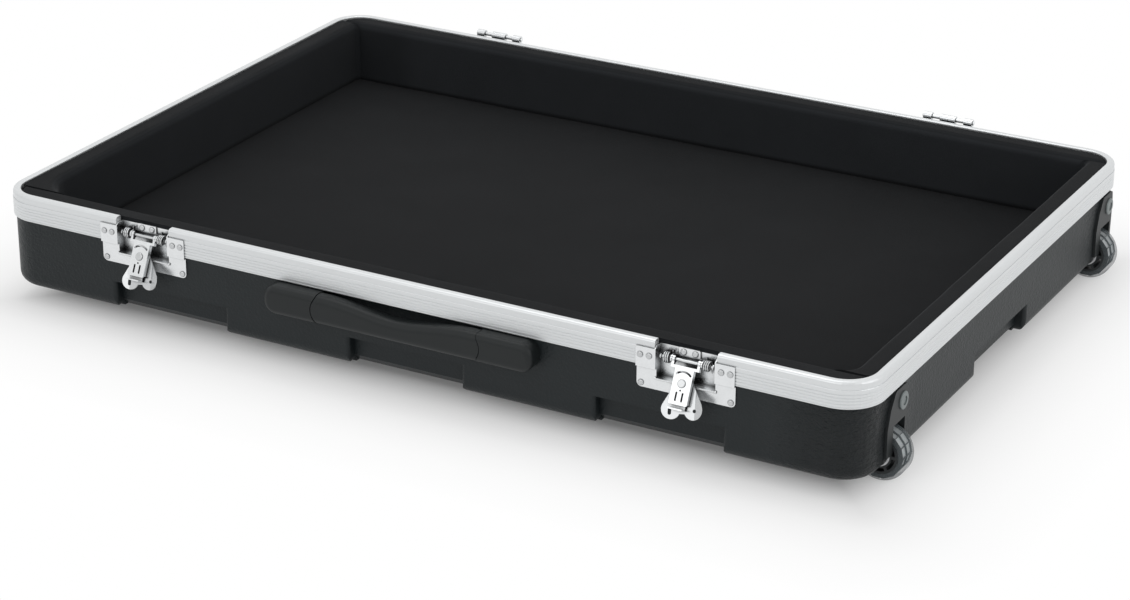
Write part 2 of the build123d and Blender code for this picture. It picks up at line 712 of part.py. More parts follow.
def make_link(name, x):
    back_of_flange = LINK_FACE - FLANGE_DROP
    height = LINK_END - LINK_TOP
    with BuildPart() as link:
        with BuildSketch(link_plane(x, LINK_FACE)) as web:
            with Locations((0, -(LINK_TOP + LINK_END) / 2)):
                Rectangle(2 * LINK_HALF, height)
            fillet(web.vertices(), 1.5)
            with Locations((0, -POST_DROP)):
                Circle(POST_RADIUS + RUN_SLACK, mode=Mode.SUBTRACT)
            with BuildSketch(mode=Mode.PRIVATE) as travel:
                centre = (0, -POST_DROP)
                arc = CenterArc(centre, ARC_RADIUS, 90 - ARC_HALF_ANGLE, 2 * ARC_HALF_ANGLE)
                SlotArc(arc, SLOT_WIDTH)
            add(travel.sketch, mode=Mode.SUBTRACT)
            with Locations((0, -POST_DROP - 6.5)):
                Circle(0.9, mode=Mode.SUBTRACT)
            with Locations((-3.2, -LINK_END + 7.5), (3.2, -LINK_END + 7.5)):
                SlotOverall(SLOT_LENGTH, SLOT_WIDTH, rotation=90, mode=Mode.SUBTRACT)
        extrude(amount=LINK_SHEET)
        for side in (-1, 1):
            edge = LINK_HALF - LINK_SHEET / 2
            with BuildSketch(link_plane(x, back_of_flange)):
                with Locations((side * edge, -(LINK_TOP + LINK_END) / 2)):
                    Rectangle(LINK_SHEET, height - 3)
            extrude(amount=FLANGE_DROP + 0.5)
            with BuildSketch(link_plane(x, -1.25)):
                with Locations((side * (BAIL_HALF - BAIL_ARM / 2), 0)):
                    Rectangle(BAIL_ARM, LINK_TOP + 1.5, align=(Align.CENTER, Align.MAX))
            extrude(amount=LINK_FACE + 1.25 + LINK_SHEET)
            with BuildSketch(Plane.YZ.offset(x + side * BAIL_HALF)):
                with Locations((PIVOT_Y, PIVOT_Z)):
                    Circle(EYE_RADIUS)
            extrude(amount=-side * BAIL_ARM)
        with BuildSketch(link_plane(x, -1.25)):
            with Locations((0, -LINK_TOP + 1.0)):
                Rectangle(2 * BAIL_HALF, 2.5, align=(Align.CENTER, Align.MAX))
        extrude(amount=LINK_FACE + 1.25 + LINK_SHEET)
        with BuildSketch(Plane.YZ.offset(x)):
            with Locations((PIVOT_Y, PIVOT_Z)):
                Circle(PIVOT_RADIUS + PIVOT_SLACK)
        extrude(amount=2 * BAIL_HALF, both=True, mode=Mode.SUBTRACT)
    write(link.part, f"latch_link_{name}")


def make_post(name, x):
    face = LINK_FACE + LINK_SHEET
    rear = WING_FACE - WING_SHEET - RUN_SLACK
    with BuildPart() as post:
        with BuildSketch(link_plane(x, rear)):
            with Locations((0, -POST_DROP)):
                Circle(POST_RADIUS)
        extrude(amount=face - rear)
        with BuildSketch(link_plane(x, face)):
            with Locations((0, -POST_DROP)):
                Circle(POST_HEAD)
        extrude(amount=1.4)
        fillet(outermost(post.edges().filter_by(GeomType.CIRCLE), link_plane(x)), 0.8)
        with BuildSketch(link_plane(x, rear)):
            with Locations((0, -POST_DROP)):
                Circle(POST_HEAD - 0.5)
        extrude(amount=-0.7)
    write(post.part, f"latch_post_{name}")


def make_hook(name, x):
    rear = LINK_FACE - HOOK_GAP - HOOK_SHEET
    top = POST_DROP - ARC_RADIUS + SLOT_WIDTH + HOOK_CLEARANCE
    end = LINK_END + HOOK_TRAVEL + 1
    with BuildPart() as hook:
        with BuildSketch(link_plane(x, rear)):
            with Locations((0, -top)):
                size = (2 * HOOK_HALF, end + HOOK_SHEET - top)
                Rectangle(*size, align=(Align.CENTER, Align.MAX))
            with Locations((0, -POST_DROP - HOOK_TRAVEL / 2)):
                length = 2 * POST_RADIUS + HOOK_TRAVEL + 1.4
                SlotOverall(length, 2 * POST_RADIUS + 0.6, rotation=90, mode=Mode.SUBTRACT)
        extrude(amount=HOOK_SHEET)
        with BuildSketch(link_plane(x, rear)):
            with Locations((0, -end)):
                Rectangle(2 * HOOK_HALF, HOOK_SHEET, align=(Align.CENTER, Align.MAX))
        extrude(amount=HOOK_SHEET + HOOK_CLAW)
    write(hook.part, f"latch_hook_{name}")


def wing_outline(pin):
    """Two lobes under the post and the arm that reaches the arc slot, drawn about the post."""
    with BuildSketch(mode=Mode.PRIVATE) as shape:
        for side in (-1, 1):
            with BuildSketch(mode=Mode.PRIVATE) as lobe:
                with Locations((side * WING_LOBE_X, -WING_LOBE_DROP)):
                    Circle(WING_LOBE)
                with Locations((side * WING_NECK / 2, 2)):
                    Circle(WING_NECK)
                make_hull()
            add(lobe.sketch)
        with Locations((0, WING_LOBE / 2 - WING_LOBE_DROP)):
            Rectangle(2 * WING_LOBE_X, 2 * WING_LOBE - 1)
        with BuildSketch(mode=Mode.PRIVATE) as arm:
            with Locations(pin):
                Circle(SLOT_WIDTH - 0.2)
            Circle(WING_NECK)
            make_hull()
        add(arm.sketch)
        Circle(POST_RADIUS + RUN_SLACK, mode=Mode.SUBTRACT)
        with Locations((-WING_LOBE_X - 1.5, -WING_LOBE_DROP - 2)):
            SlotOverall(WING_SLOT, WING_HOLE, rotation=90, mode=Mode.SUBTRACT)
        with Locations((WING_LOBE_X + 1.0, -WING_LOBE_DROP - 1)):
            Circle(WING_HOLE / 2, mode=Mode.SUBTRACT)
    return shape.sketch


def make_wing(name, x):
    """A sheet butterfly whose lobes' outer parts bend outwards; it hangs a little turned on its post."""
    pin_angle = radians(90 + ARC_HALF_ANGLE - 10)
    pin = (ARC_RADIUS * cos(pin_angle), ARC_RADIUS * sin(pin_angle))
    base = link_plane(x)
    middle = base.from_local_coords((0, -POST_DROP, WING_FACE))
    turn = radians(WING_REST)
    plane = Plane(middle, x_dir=base.x_dir * cos(turn) + base.y_dir * sin(turn), z_dir=base.z_dir)
    reach = WING_LOBE_X + WING_LOBE + 1
    rise = (reach - WING_BEND_X) * tan(radians(WING_BEND))
    with BuildPart() as wing:
        with BuildSketch(plane.offset(-WING_SHEET)) as blank:
            add(wing_outline(pin))
        extrude(blank.sketch, amount=2 * WING_LOBE)
        across = Plane(plane.origin, x_dir=plane.x_dir, z_dir=plane.y_dir)
        with BuildSketch(across) as section:
            with BuildLine():
                inner = [(reach, -rise), (WING_BEND_X, 0), (-WING_BEND_X, 0), (-reach, -rise)]
                outer = [(x, y + WING_SHEET) for x, y in reversed(inner)]
                Polyline(*inner, *outer, close=True)
            make_face()
        extrude(section.sketch, amount=3 * WING_LOBE_DROP, both=True, mode=Mode.INTERSECT)
        with BuildSketch(plane) as boss:
            Circle(WING_NECK - 1.6)
            Circle(POST_RADIUS + RUN_SLACK, mode=Mode.SUBTRACT)
        extrude(boss.sketch, amount=LINK_FACE - HOOK_GAP - HOOK_SHEET - WING_FACE - 0.3)
        with BuildSketch(plane) as stud:
            with Locations(pin):
                Circle(SLOT_WIDTH * 0.4)
        extrude(stud.sketch, amount=LINK_FACE + LINK_SHEET - WING_FACE)
    write(wing.part, f"latch_wing_{name}")


def make_latches():
    for name, x in (("left", -LATCH_X), ("right", LATCH_X)):
        upper, lower = plate_rivets(x)
        make_dish(name, x)
        rivets(f"latch_rivets_{name}", [
            (front(-PLATE), upper, PLATE + INNER_INSET),
            (front(SKIRT - PLATE), lower, PLATE + WALL),
        ])
        make_bracket(name, x)
        bracket_grip = (front(DISH_DEPTH - BRACKET_SHEET, x), BRACKET_RIVETS, BRACKET_SHEET + PLATE)
        rivets(f"latch_bracket_rivets_{name}", [bracket_grip], DISH_SLACK - RIVET_SLACK)
        make_pivot_pin(name, x)
        make_springs(name, x)
        make_link(name, x)
        make_post(name, x)
        make_hook(name, x)
        make_wing(name, x)


def make_hinges():
    axis_y = CASE_DEPTH / 2 + HINGE_OUT
    ends = [-HINGE_WIDTH / 2 + KNUCKLE_END / 2, 0, HINGE_WIDTH / 2 - KNUCKLE_END / 2]
    widths = [KNUCKLE_END, KNUCKLE_MIDDLE, KNUCKLE_END]
    for name, x in (("left", -HINGE_X), ("right", HINGE_X)):
        with BuildPart() as leaf:
            with BuildSketch(back(0, x)):
                with Locations((0, LEAF_LOW)):
                    size = (HINGE_WIDTH, SHELL_TOP - LEAF_LOW + 2)
                    Rectangle(*size, align=(Align.CENTER, Align.MIN))
            extrude(amount=LEAF)
            for middle, width in zip(ends, widths):
                with BuildSketch(Plane.YZ.offset(x + middle)):
                    with BuildLine():
                        Polyline(
                            (CASE_DEPTH / 2, SHELL_TOP - 3),
                            (CASE_DEPTH / 2 + LEAF, SHELL_TOP - 3),
                            (axis_y + KNUCKLE_RADIUS * 0.8, HINGE_Z - KNUCKLE_RADIUS * 0.6),
                            (axis_y, HINGE_Z),
                            (CASE_DEPTH / 2, SHELL_TOP + 2),
                            close=True,
                        )
                    make_face()
                    with Locations((axis_y, HINGE_Z)):
                        Circle(KNUCKLE_RADIUS)
                        Circle(HINGE_ROD + HINGE_SLACK, mode=Mode.SUBTRACT)
                extrude(amount=width / 2, both=True)
            drill(back(0, x), HINGE_RIVETS, RIVET_SHANK + RIVET_SLACK, LEAF + 1)
        write(leaf.part, f"hinge_leaf_{name}")
        with BuildPart() as rod:
            with BuildSketch(Plane.YZ.offset(x)):
                with Locations((axis_y, HINGE_Z)):
                    Circle(HINGE_ROD)
            extrude(amount=HINGE_WIDTH / 2 + 1.5, both=True)
            chamfer(rod.edges().filter_by(GeomType.CIRCLE), 0.6)
        write(rod.part, f"hinge_rod_{name}")
        rivets(f"hinge_rivets_{name}", [(back(-LEAF, x), HINGE_RIVETS, LEAF + INNER_INSET)])


def domed_cylinder(radius, half, dome, mode):
    """Body of revolution about the handle's pivot line, with domed ends."""
    plane = Plane((0, -CASE_DEPTH / 2 - HANDLE_OUT, HANDLE_Z))
    with BuildSketch(plane) as section:
        with BuildLine():
            Line((-half, 0), (half, 0))
            ThreePointArc((half, 0), (half - dome * 0.29, radius * 0.55), (half - dome, radius))
            Line((half - dome, radius), (dome - half, radius))
            ThreePointArc((dome - half, radius), (dome * 0.29 - half, radius * 0.55), (-half, 0))
        make_face()
    revolve(section.sketch, axis=Axis(plane.origin, (1, 0, 0)), mode=mode)


def make_handle():
    half_height = HANDLE_HEIGHT / 2
    outer = -HANDLE_OUT - HANDLE_THICK / 2
    with BuildPart() as grip:
        with BuildSketch(front(outer + HANDLE_THICK, 0, HANDLE_Z)):
            with BuildLine():
                waist_end = GRIP_HALF - GRIP_DOME - 4
                Polyline(
                    (-waist_end, half_height),
                    (-GRIP_HALF, half_height),
                    (-GRIP_HALF, -half_height),
                    (GRIP_HALF, -half_height),
                    (GRIP_HALF, half_height),
                    (waist_end, half_height),
                )
                Spline(
                    (waist_end, half_height),
                    (0, half_height - GRIP_WAIST),
                    (-waist_end, half_height),
                    tangents=[(-1, 0), (-1, 0)],
                )
            make_face()
        extrude(amount=HANDLE_THICK)
        long_edges = grip.edges().filter_by(lambda e: e.length > GRIP_HALF)
        fillet(long_edges, GRIP_ROUND)
        domed_cylinder(half_height + 0.3, GRIP_HALF, GRIP_DOME, Mode.INTERSECT)
        with BuildSketch(Plane.YZ):
            with Locations((-CASE_DEPTH / 2 - HANDLE_OUT, HANDLE_Z)):
                Circle(TRUNNION_RADIUS)
        extrude(amount=GRIP_HALF + TRUNNION_LENGTH, both=True)
    write(grip.part, "handle_grip")
    for name, side in (("left", -1), ("right", 1)):
        start = GRIP_HALF - GRIP_DOME + CAP_GAP
        with BuildPart() as cap:
            with BuildSketch(front(SHELL_INSET, 0, HANDLE_Z)) as shape:
                with Locations((side * (start + CAP_END) / 2, 0)):
                    Rectangle(CAP_END - start, HANDLE_HEIGHT)
                outer_corners = shape.vertices().group_by(Axis.X)[-1 if side > 0 else 0]
                fillet(outer_corners, half_height - 1.5)
            extrude(amount=SHELL_INSET - outer)
            front_edges = cap.faces().sort_by(Axis.Y)[0].edges()
            round_edges = front_edges.filter_by(lambda e: abs(e.center().X) > start + 1)
            fillet(round_edges, CAP_ROUND)
            domed_cylinder(
                half_height + 0.3 + CAP_GAP, GRIP_HALF + CAP_GAP, GRIP_DOME, Mode.SUBTRACT
            )
            with BuildSketch(Plane.YZ):
                with Locations((-CASE_DEPTH / 2 - HANDLE_OUT, HANDLE_Z)):
                    Circle(TRUNNION_RADIUS + RUN_SLACK)
            bore = side * (GRIP_HALF + TRUNNION_LENGTH + CAP_GAP)
            extrude(amount=bore, mode=Mode.SUBTRACT)
            places = [p for p in CAP_SCREWS if p[0] * side > 0]
            with BuildSketch(front(SHELL_INSET)):
                with Locations(*places):
                    Circle(RIVET_SHANK + RIVET_SLACK)
            extrude(amount=CAP_SCREW_DEPTH + CAP_GAP, mode=Mode.SUBTRACT)
        write(cap.part, f"handle_cap_{name}")
    with BuildPart() as screws:
        with BuildSketch(front(INNER_INSET)):
            with Locations(*CAP_SCREWS):
                Circle(CAP_SCREW_HEAD)
        extrude(amount=-CAP_SCREW_HEAD / 2)
        with BuildSketch(front(INNER_INSET)):
            with Locations(*CAP_SCREWS):
                Circle(RIVET_SHANK)
        extrude(amount=WALL + CAP_SCREW_DEPTH)
    write(screws.part, "handle_screws")


def make_wheel(name, y):
    axle = Plane((WHEEL_X, y, WHEEL_Z), x_dir=(1, 0, 0), z_dir=(0, -1, 0))
    half = WHEEL_WIDTH / 2
    with BuildPart() as tyre:
        with BuildSketch(axle):
            Circle(WHEEL_RADIUS)
            Circle(HUB_RADIUS, mode=Mode.SUBTRACT)
        extrude(amount=half, both=True)
        crown = tyre.edges().filter_by(GeomType.CIRCLE).sort_by(SortBy.RADIUS)[-2:]
        fillet(crown, 6)
    write(tyre.part, f"wheel_tyre_{name}")

    with BuildPart() as hub:
        with BuildSketch(axle):
            Circle(HUB_RADIUS)
            Circle(HUB_RADIUS - 2.5, mode=Mode.SUBTRACT)
            Circle(BEARING_RADIUS + 2)
            with PolarLocations((HUB_RADIUS + BEARING_RADIUS) / 2, 6):
                Rectangle(HUB_RADIUS - BEARING_RADIUS - 2, 3)
            Circle(BEARING_RADIUS - 1.5, mode=Mode.SUBTRACT)
        extrude(amount=half, both=True)
        for side in (-1, 1):
            with BuildSketch(axle.offset(side * half)):
                Circle(BEARING_RADIUS + RUN_SLACK)
            extrude(amount=-side * BEARING_WIDTH, mode=Mode.SUBTRACT)
    write(hub.part, f"wheel_hub_{name}")

    with BuildPart() as bearings:
        for side in (-1, 1):
            with BuildSketch(axle.offset(side * half)):
                Circle(BEARING_RADIUS)
                Circle(AXLE_RADIUS + RUN_SLACK, mode=Mode.SUBTRACT)
            extrude(amount=-side * BEARING_WIDTH)
            with BuildSketch(axle.offset(side * half)):
                Circle(BEARING_RADIUS - 2)
                Circle(AXLE_RADIUS + 2, mode=Mode.SUBTRACT)
            extrude(amount=-side * 0.6, mode=Mode.SUBTRACT)
    write(bearings.part, f"wheel_bearings_{name}")

    arm_out = half + FORK_GAP + FORK_ARM
    with BuildPart() as bolt:
        with BuildSketch(axle.offset(arm_out)):
            RegularPolygon(6.5, 6)
        extrude(amount=4)
        with BuildSketch(axle.offset(arm_out)):
            Circle(AXLE_RADIUS)
        extrude(amount=-2 * arm_out)
        with BuildSketch(axle.offset(-arm_out)):
            Circle(AXLE_RADIUS + 2.2)
        extrude(amount=-2.2)
    write(bolt.part, f"wheel_axle_{name}")

    face = CASE_WIDTH / 2 - SHELL_INSET
    with BuildPart() as fork:
        with BuildSketch(right(SHELL_INSET, y)) as plate:
            arm_side = half + FORK_GAP + FORK_ARM
            with BuildLine():
                Polyline(
                    (-FORK_SIDE, FORK_LOW),
                    (-FORK_SIDE, FORK_TOP),
                    (-FORK_SHOULDER, FORK_RIVET_Z),
                    (-FORK_SHOULDER / 2, FORK_CROWN),
                    (arm_side, FORK_CROWN),
                    (arm_side + 2, FORK_RIVET_Z),
                    (arm_side, 0),
                    (0, 0),
                    (0, FORK_LOW),
                    close=True,
                )
            make_face()
            fillet(plate.vertices().group_by(Axis.Y)[-1], FORK_CORNER)
            Rectangle(2 * (half + FORK_GAP), 2 * FORK_TOP, mode=Mode.SUBTRACT)
            with Locations((FORK_RIVET_Y, FORK_RIVET_Z)):
                Circle(AXLE_RADIUS + RIVET_SLACK, mode=Mode.SUBTRACT)
        extrude(amount=FORK_PLATE)
        for side in (-1, 1):
            start = axle.offset(side * (half + FORK_GAP))
            with BuildSketch(start) as arm:
                with BuildLine():
                    Polyline(
                        (-14, FORK_TOP - WHEEL_Z + FORK_ARM - 1),
                        (face - WHEEL_X + FORK_PLATE, FORK_TOP - WHEEL_Z + FORK_ARM - 1),
                        (face - WHEEL_X + FORK_PLATE, FORK_LOW - WHEEL_Z),
                        (2 * AXLE_RADIUS, AXLE_RADIUS),
                        (2 * AXLE_RADIUS - 1, -AXLE_RADIUS - 2),
                        (AXLE_RADIUS - 1, -AXLE_RADIUS - 5),
                        (-2 * AXLE_RADIUS, -AXLE_RADIUS - 4),
                        close=True,
                    )
                make_face()
                Circle(AXLE_RADIUS + RUN_SLACK, mode=Mode.SUBTRACT)
            extrude(amount=side * FORK_ARM)
        with BuildSketch(Plane((WHEEL_X - 14, y, FORK_TOP))):
            size = (face + FORK_PLATE - WHEEL_X + 14, 2 * (half + FORK_GAP))
            Rectangle(*size, align=(Align.MIN, Align.CENTER))
        extrude(amount=FORK_ARM - 1)
    write(fork.part, f"wheel_fork_{name}")

    with BuildPart() as rivet:
        place = (FORK_RIVET_Y, FORK_RIVET_Z)
        with BuildSketch(right(SHELL_INSET - FORK_PLATE, y)):
            with Locations(place):
                Circle(FORK_RIVET_HEAD)
        extrude(amount=2.0)
        fillet(rivet.faces().sort_by(Axis.X)[-1].edges(), 1.4)
        with BuildSketch(right(SHELL_INSET - FORK_PLATE - 2.0, y)):
            with Locations(place):
                Circle(FORK_RIVET_HEAD / 2)
        extrude(amount=-0.8, mode=Mode.SUBTRACT)
        with BuildSketch(right(SHELL_INSET - FORK_PLATE, y)):
            with Locations(place):
                Circle(AXLE_RADIUS)
        extrude(amount=-(FORK_PLATE + WALL + 1))
    write(rivet.part, f"wheel_rivet_{name}")


def make_feet():
    with BuildPart() as feet:
        with BuildSketch():
            with Locations(*FOOT_PLACES):
                Circle(FOOT_RADIUS)
        extrude(amount=-FOOT_HEIGHT, taper=6)
        with BuildSketch(Plane.XY.offset(-FOOT_HEIGHT)):
            with Locations(*FOOT_PLACES):
                Circle(6)
        extrude(amount=FOOT_HEIGHT - 8, mode=Mode.SUBTRACT)
        with BuildSketch():
            with Locations(*FOOT_PLACES):
                Circle(FOOT_SCREW + RIVET_SLACK)
        extrude(amount=-FOOT_HEIGHT, mode=Mode.SUBTRACT)
    write(feet.part, "rest_feet")
    with BuildPart() as screws:
        with BuildSketch(Plane.XY.offset(-8)):
            with Locations(*FOOT_PLACES):
                Circle(5)
        extrude(amount=-3)
        with BuildSketch(Plane.XY.offset(-8)):
            with Locations(*FOOT_PLACES):
                Circle(FOOT_SCREW)
        extrude(amount=8 + WALL)
    write(screws.part, "foot_screws")


def make_tow_handle():
    bar_x = POCKET_BACK_X - TOW_POCKET_DEPTH + 1.5
    with BuildPart() as grip:
        with BuildSketch(Plane((bar_x, 0, TOW_Z - TOW_HEIGHT / 2))):
            with Locations((0, 0)):
                Rectangle(TOW_BAR, 2 * TOW_HALF, align=(Align.MIN, Align.CENTER))
        extrude(amount=TOW_HEIGHT)
        fillet(grip.edges().filter_by(Axis.Y), 3)
        for side in (-1, 1):
            with BuildSketch(Plane.YZ.offset(bar_x + TOW_BAR / 2)):
                with Locations((side * TUBE_Y, TOW_Z)):
                    Rectangle(TUBE, TUBE)
            extrude(amount=TOW_BAR / 2 + 5)
    write(grip.part, "tow_grip")
    start = bar_x + TOW_BAR + 5
    inner = TUBE - 2 * TUBE_WALL - 2 * TUBE_SLACK
    with BuildPart() as sliding:
        with BuildSketch(Plane.YZ.offset(start)):
            with Locations((-TUBE_Y, TOW_Z), (TUBE_Y, TOW_Z)):
                Rectangle(inner, inner)
                Rectangle(inner - 2 * TUBE_WALL, inner - 2 * TUBE_WALL, mode=Mode.SUBTRACT)
        extrude(amount=TUBE_LENGTH - 10)
    write(sliding.part, "tow_inner_tubes")
    with BuildPart() as fixed:
        with BuildSketch(Plane.YZ.offset(POCKET_BACK_X)):
            with Locations((-TUBE_Y, TOW_Z), (TUBE_Y, TOW_Z)):
                Rectangle(TUBE, TUBE)
                Rectangle(TUBE - 2 * TUBE_WALL, TUBE - 2 * TUBE_WALL, mode=Mode.SUBTRACT)
        extrude(amount=TUBE_LENGTH)
    write(fixed.part, "tow_outer_tubes")
    with BuildPart() as clamps:
        for x in (POCKET_BACK_X + CLAMP_START, POCKET_BACK_X + TUBE_LENGTH - CLAMP_END):
            with BuildSketch(Plane.YZ.offset(x)):
                for side in (-1, 1):
                    with Locations((side * TUBE_Y, WALL)):
                        top = TOW_Z + TUBE / 2 + 0.5 - WALL
                        Rectangle(TUBE + 5, top, align=(Align.CENTER, Align.MIN))
                    with Locations((side * TUBE_Y, TOW_Z)):
                        Rectangle(TUBE, TUBE, mode=Mode.SUBTRACT)
            extrude(amount=CLAMP_WIDTH)
    write(clamps.part, "tow_clamps")


os.makedirs("parts", exist_ok=True)
make_shell()
make_valance()
make_foam()
make_latches()
make_hinges()
make_handle()
for wheel, wheel_y in WHEEL_YS.items():
    make_wheel(wheel, wheel_y)
make_feet()
make_tow_handle()
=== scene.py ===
import math

import bmesh
import bpy
from mathutils import Matrix, Vector, noise


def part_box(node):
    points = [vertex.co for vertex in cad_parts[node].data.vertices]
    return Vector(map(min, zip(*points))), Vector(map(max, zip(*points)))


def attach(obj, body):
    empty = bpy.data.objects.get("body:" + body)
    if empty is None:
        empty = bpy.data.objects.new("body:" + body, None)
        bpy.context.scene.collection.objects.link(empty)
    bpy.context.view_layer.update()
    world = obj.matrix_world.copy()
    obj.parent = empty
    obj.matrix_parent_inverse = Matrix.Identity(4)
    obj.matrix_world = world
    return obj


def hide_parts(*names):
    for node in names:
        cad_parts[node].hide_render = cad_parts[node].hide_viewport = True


bl_info = {
    "name": "Mixer Case",
    "version": (1, 0, 0),
    "blender": (4, 5, 0),
    "location": "View3D > Sidebar > Mixer Case",
    "description": "Dresses the lower half of a wheeled mixer case",
    "category": "Add Mesh",
}

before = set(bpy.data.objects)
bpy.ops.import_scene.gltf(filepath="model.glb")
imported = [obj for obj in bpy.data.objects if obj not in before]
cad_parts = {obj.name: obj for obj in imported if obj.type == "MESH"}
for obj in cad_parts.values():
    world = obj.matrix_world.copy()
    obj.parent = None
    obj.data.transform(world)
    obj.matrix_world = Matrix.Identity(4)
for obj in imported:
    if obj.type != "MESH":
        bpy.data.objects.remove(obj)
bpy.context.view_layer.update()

MM = 0.001
TOUCHING = 0.001 * MM
MERGING = 0.01 * MM
SLACK = 0.1 * MM

RIM_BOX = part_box("rim_valance")
HALF_WIDTH = RIM_BOX[1].x
HALF_DEPTH = RIM_BOX[1].y
RIM_TOP = RIM_BOX[1].z
SKIRT_LOW = RIM_BOX[0].z
CORNER_RADIUS = 39 * MM
LATCH_GAP_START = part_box("rim_valance_front")[1].x
LATCH_GAP = 64.2 * MM
FLOOR_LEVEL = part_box("wheel_tyre_front")[0].z

# Foam pads: FOAM_OUTER and FOAM_FACE lie inwards from the valance's outer face
FOAM_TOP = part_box("foam_wall_back")[1].z
FOAM_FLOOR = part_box("foam_floor")[1].z
FOAM_OUTER = 9 * MM
FOAM_FACE = 31 * MM
FOAM_ROUND = 11 * MM
LINING_TOP = RIM_TOP - 1.8 * MM


# Shader maths

class Term:
    """One shader value; arithmetic on it adds Math nodes."""

    def __init__(self, shader, socket):
        self.shader = shader
        self.socket = socket

    def math(self, operation, *terms):
        return self.shader.add("Math", {"operation": operation}, dict(enumerate(terms)))

    def __add__(self, other):
        return self.math("ADD", self, other)

    def __radd__(self, other):
        return self.math("ADD", other, self)

    def __sub__(self, other):
        return self.math("SUBTRACT", self, other)

    def __rsub__(self, other):
        return self.math("SUBTRACT", other, self)

    def __mul__(self, other):
        return self.math("MULTIPLY", self, other)

    def __rmul__(self, other):
        return self.math("MULTIPLY", other, self)

    def __truediv__(self, other):
        return self.math("DIVIDE", self, other)

    def __abs__(self):
        return self.math("ABSOLUTE", self)

    def most(self, other):
        return self.math("MAXIMUM", self, other)

    def least(self, other):
        return self.math("MINIMUM", self, other)

    def root(self):
        return self.math("SQRT", self)

    def step(self, start, end):
        """Rises smoothly from 0 to 1 between two values."""
        values = {0: self, "From Min": start, "From Max": end}
        return self.shader.add("MapRange", {"interpolation_type": "SMOOTHSTEP"}, values)


class Shader:
    """The nodes of a new material or world."""

    def __init__(self, name, kind="materials"):
        self.owner = getattr(bpy.data, kind).new(name)
        self.owner.use_nodes = True
        self.tree = self.owner.node_tree
        self.tree.nodes.clear()

    def node(self, kind, settings=None, values=None):
        """Adds a node: its settings first, then the values or links of its sockets."""
        node = self.tree.nodes.new("ShaderNode" + kind)
        for key, value in (settings or {}).items():
            if key == "stops":
                self.set_stops(node.color_ramp, value)
            else:
                setattr(node, key, value)
        for key, value in (values or {}).items():
            if isinstance(value, Term):
                self.tree.links.new(value.socket, node.inputs[key])
            else:
                node.inputs[key].default_value = value
        return node

    def add(self, kind, settings=None, values=None, output=0):
        """Adds a node and returns one of its outputs as a term."""
        return Term(self, self.node(kind, settings, values).outputs[output])

    def set_stops(self, ramp, stops):
        """Gives a new colour ramp its stops, as (position, colour) from the lowest up."""
        first, *middle, last = stops
        ramp.elements[0].position, ramp.elements[0].color = first
        ramp.elements[-1].position, ramp.elements[-1].color = last
        for position, colour in middle:
            ramp.elements.new(position).color = colour

    def place(self, stretch=(1, 1, 1)):
        """Object coordinates, stretched along each axis."""
        coordinates = self.add("TexCoord", output="Object")
        return self.add("Mapping", {}, {"Vector": coordinates, "Scale": stretch})

    def axes(self, names, space="Object"):
        """The named axes of the coordinates, each a term of its own."""
        coordinates = self.add("TexCoord", output=space)
        return [self.add("SeparateXYZ", {}, {0: coordinates}, name) for name in names]

    def noise(self, scale, detail, roughness=0.5, stretch=(1, 1, 1)):
        values = {
            "Vector": self.place(stretch),
            "Scale": scale,
            "Detail": detail,
            "Roughness": roughness,
        }
        return self.add("TexNoise", {}, values)

    def cells(self, scale):
        values = {"Vector": self.place(), "Scale": scale}
        return self.add("TexVoronoi", {"feature": "SMOOTH_F1"}, values)

    def tint(self, mask, dark, light):
        """Two colours mixed by a mask; either may be a term itself."""
        dark, light = [end if isinstance(end, Term) else (*end, 1) for end in (dark, light)]
        return self.add("Mix", {"data_type": "RGBA"}, {0: mask, 6: dark, 7: light}, 2)

    def mottle(self, mask, colour, darkest, lightest):
        """One colour, made darker and lighter by a mask."""
        return self.tint(mask, shade(colour, darkest), shade(colour, lightest))

    def crevices(self, reach):
        """1 on open surfaces, falling to 0 where others stand close."""
        return self.add("AmbientOcclusion", {"samples": 12}, {"Distance": reach}, "AO")

    def bump(self, height, strength, distance, normal=None):
        values = {"Height": height, "Strength": strength, "Distance": distance}
        if normal:
            values["Normal"] = normal
        return self.add("Bump", {}, values)

    def finish(self, **sockets):
        """Ends a material with a Principled surface; underscores stand for spaces."""
        values = {key.replace("_", " "): value for key, value in sockets.items()}
        return self.end(self.add("BsdfPrincipled", {}, values))

    def end(self, surface, output="OutputMaterial"):
        """Puts the surface out and returns the finished material or world."""
        self.node(output, {}, {"Surface": surface})
        return self.owner


def shade(colour, factor):
    return tuple(min(1.0, channel * factor) for channel in colour)


# Materials

CORNER_STRETCH = 120 * MM


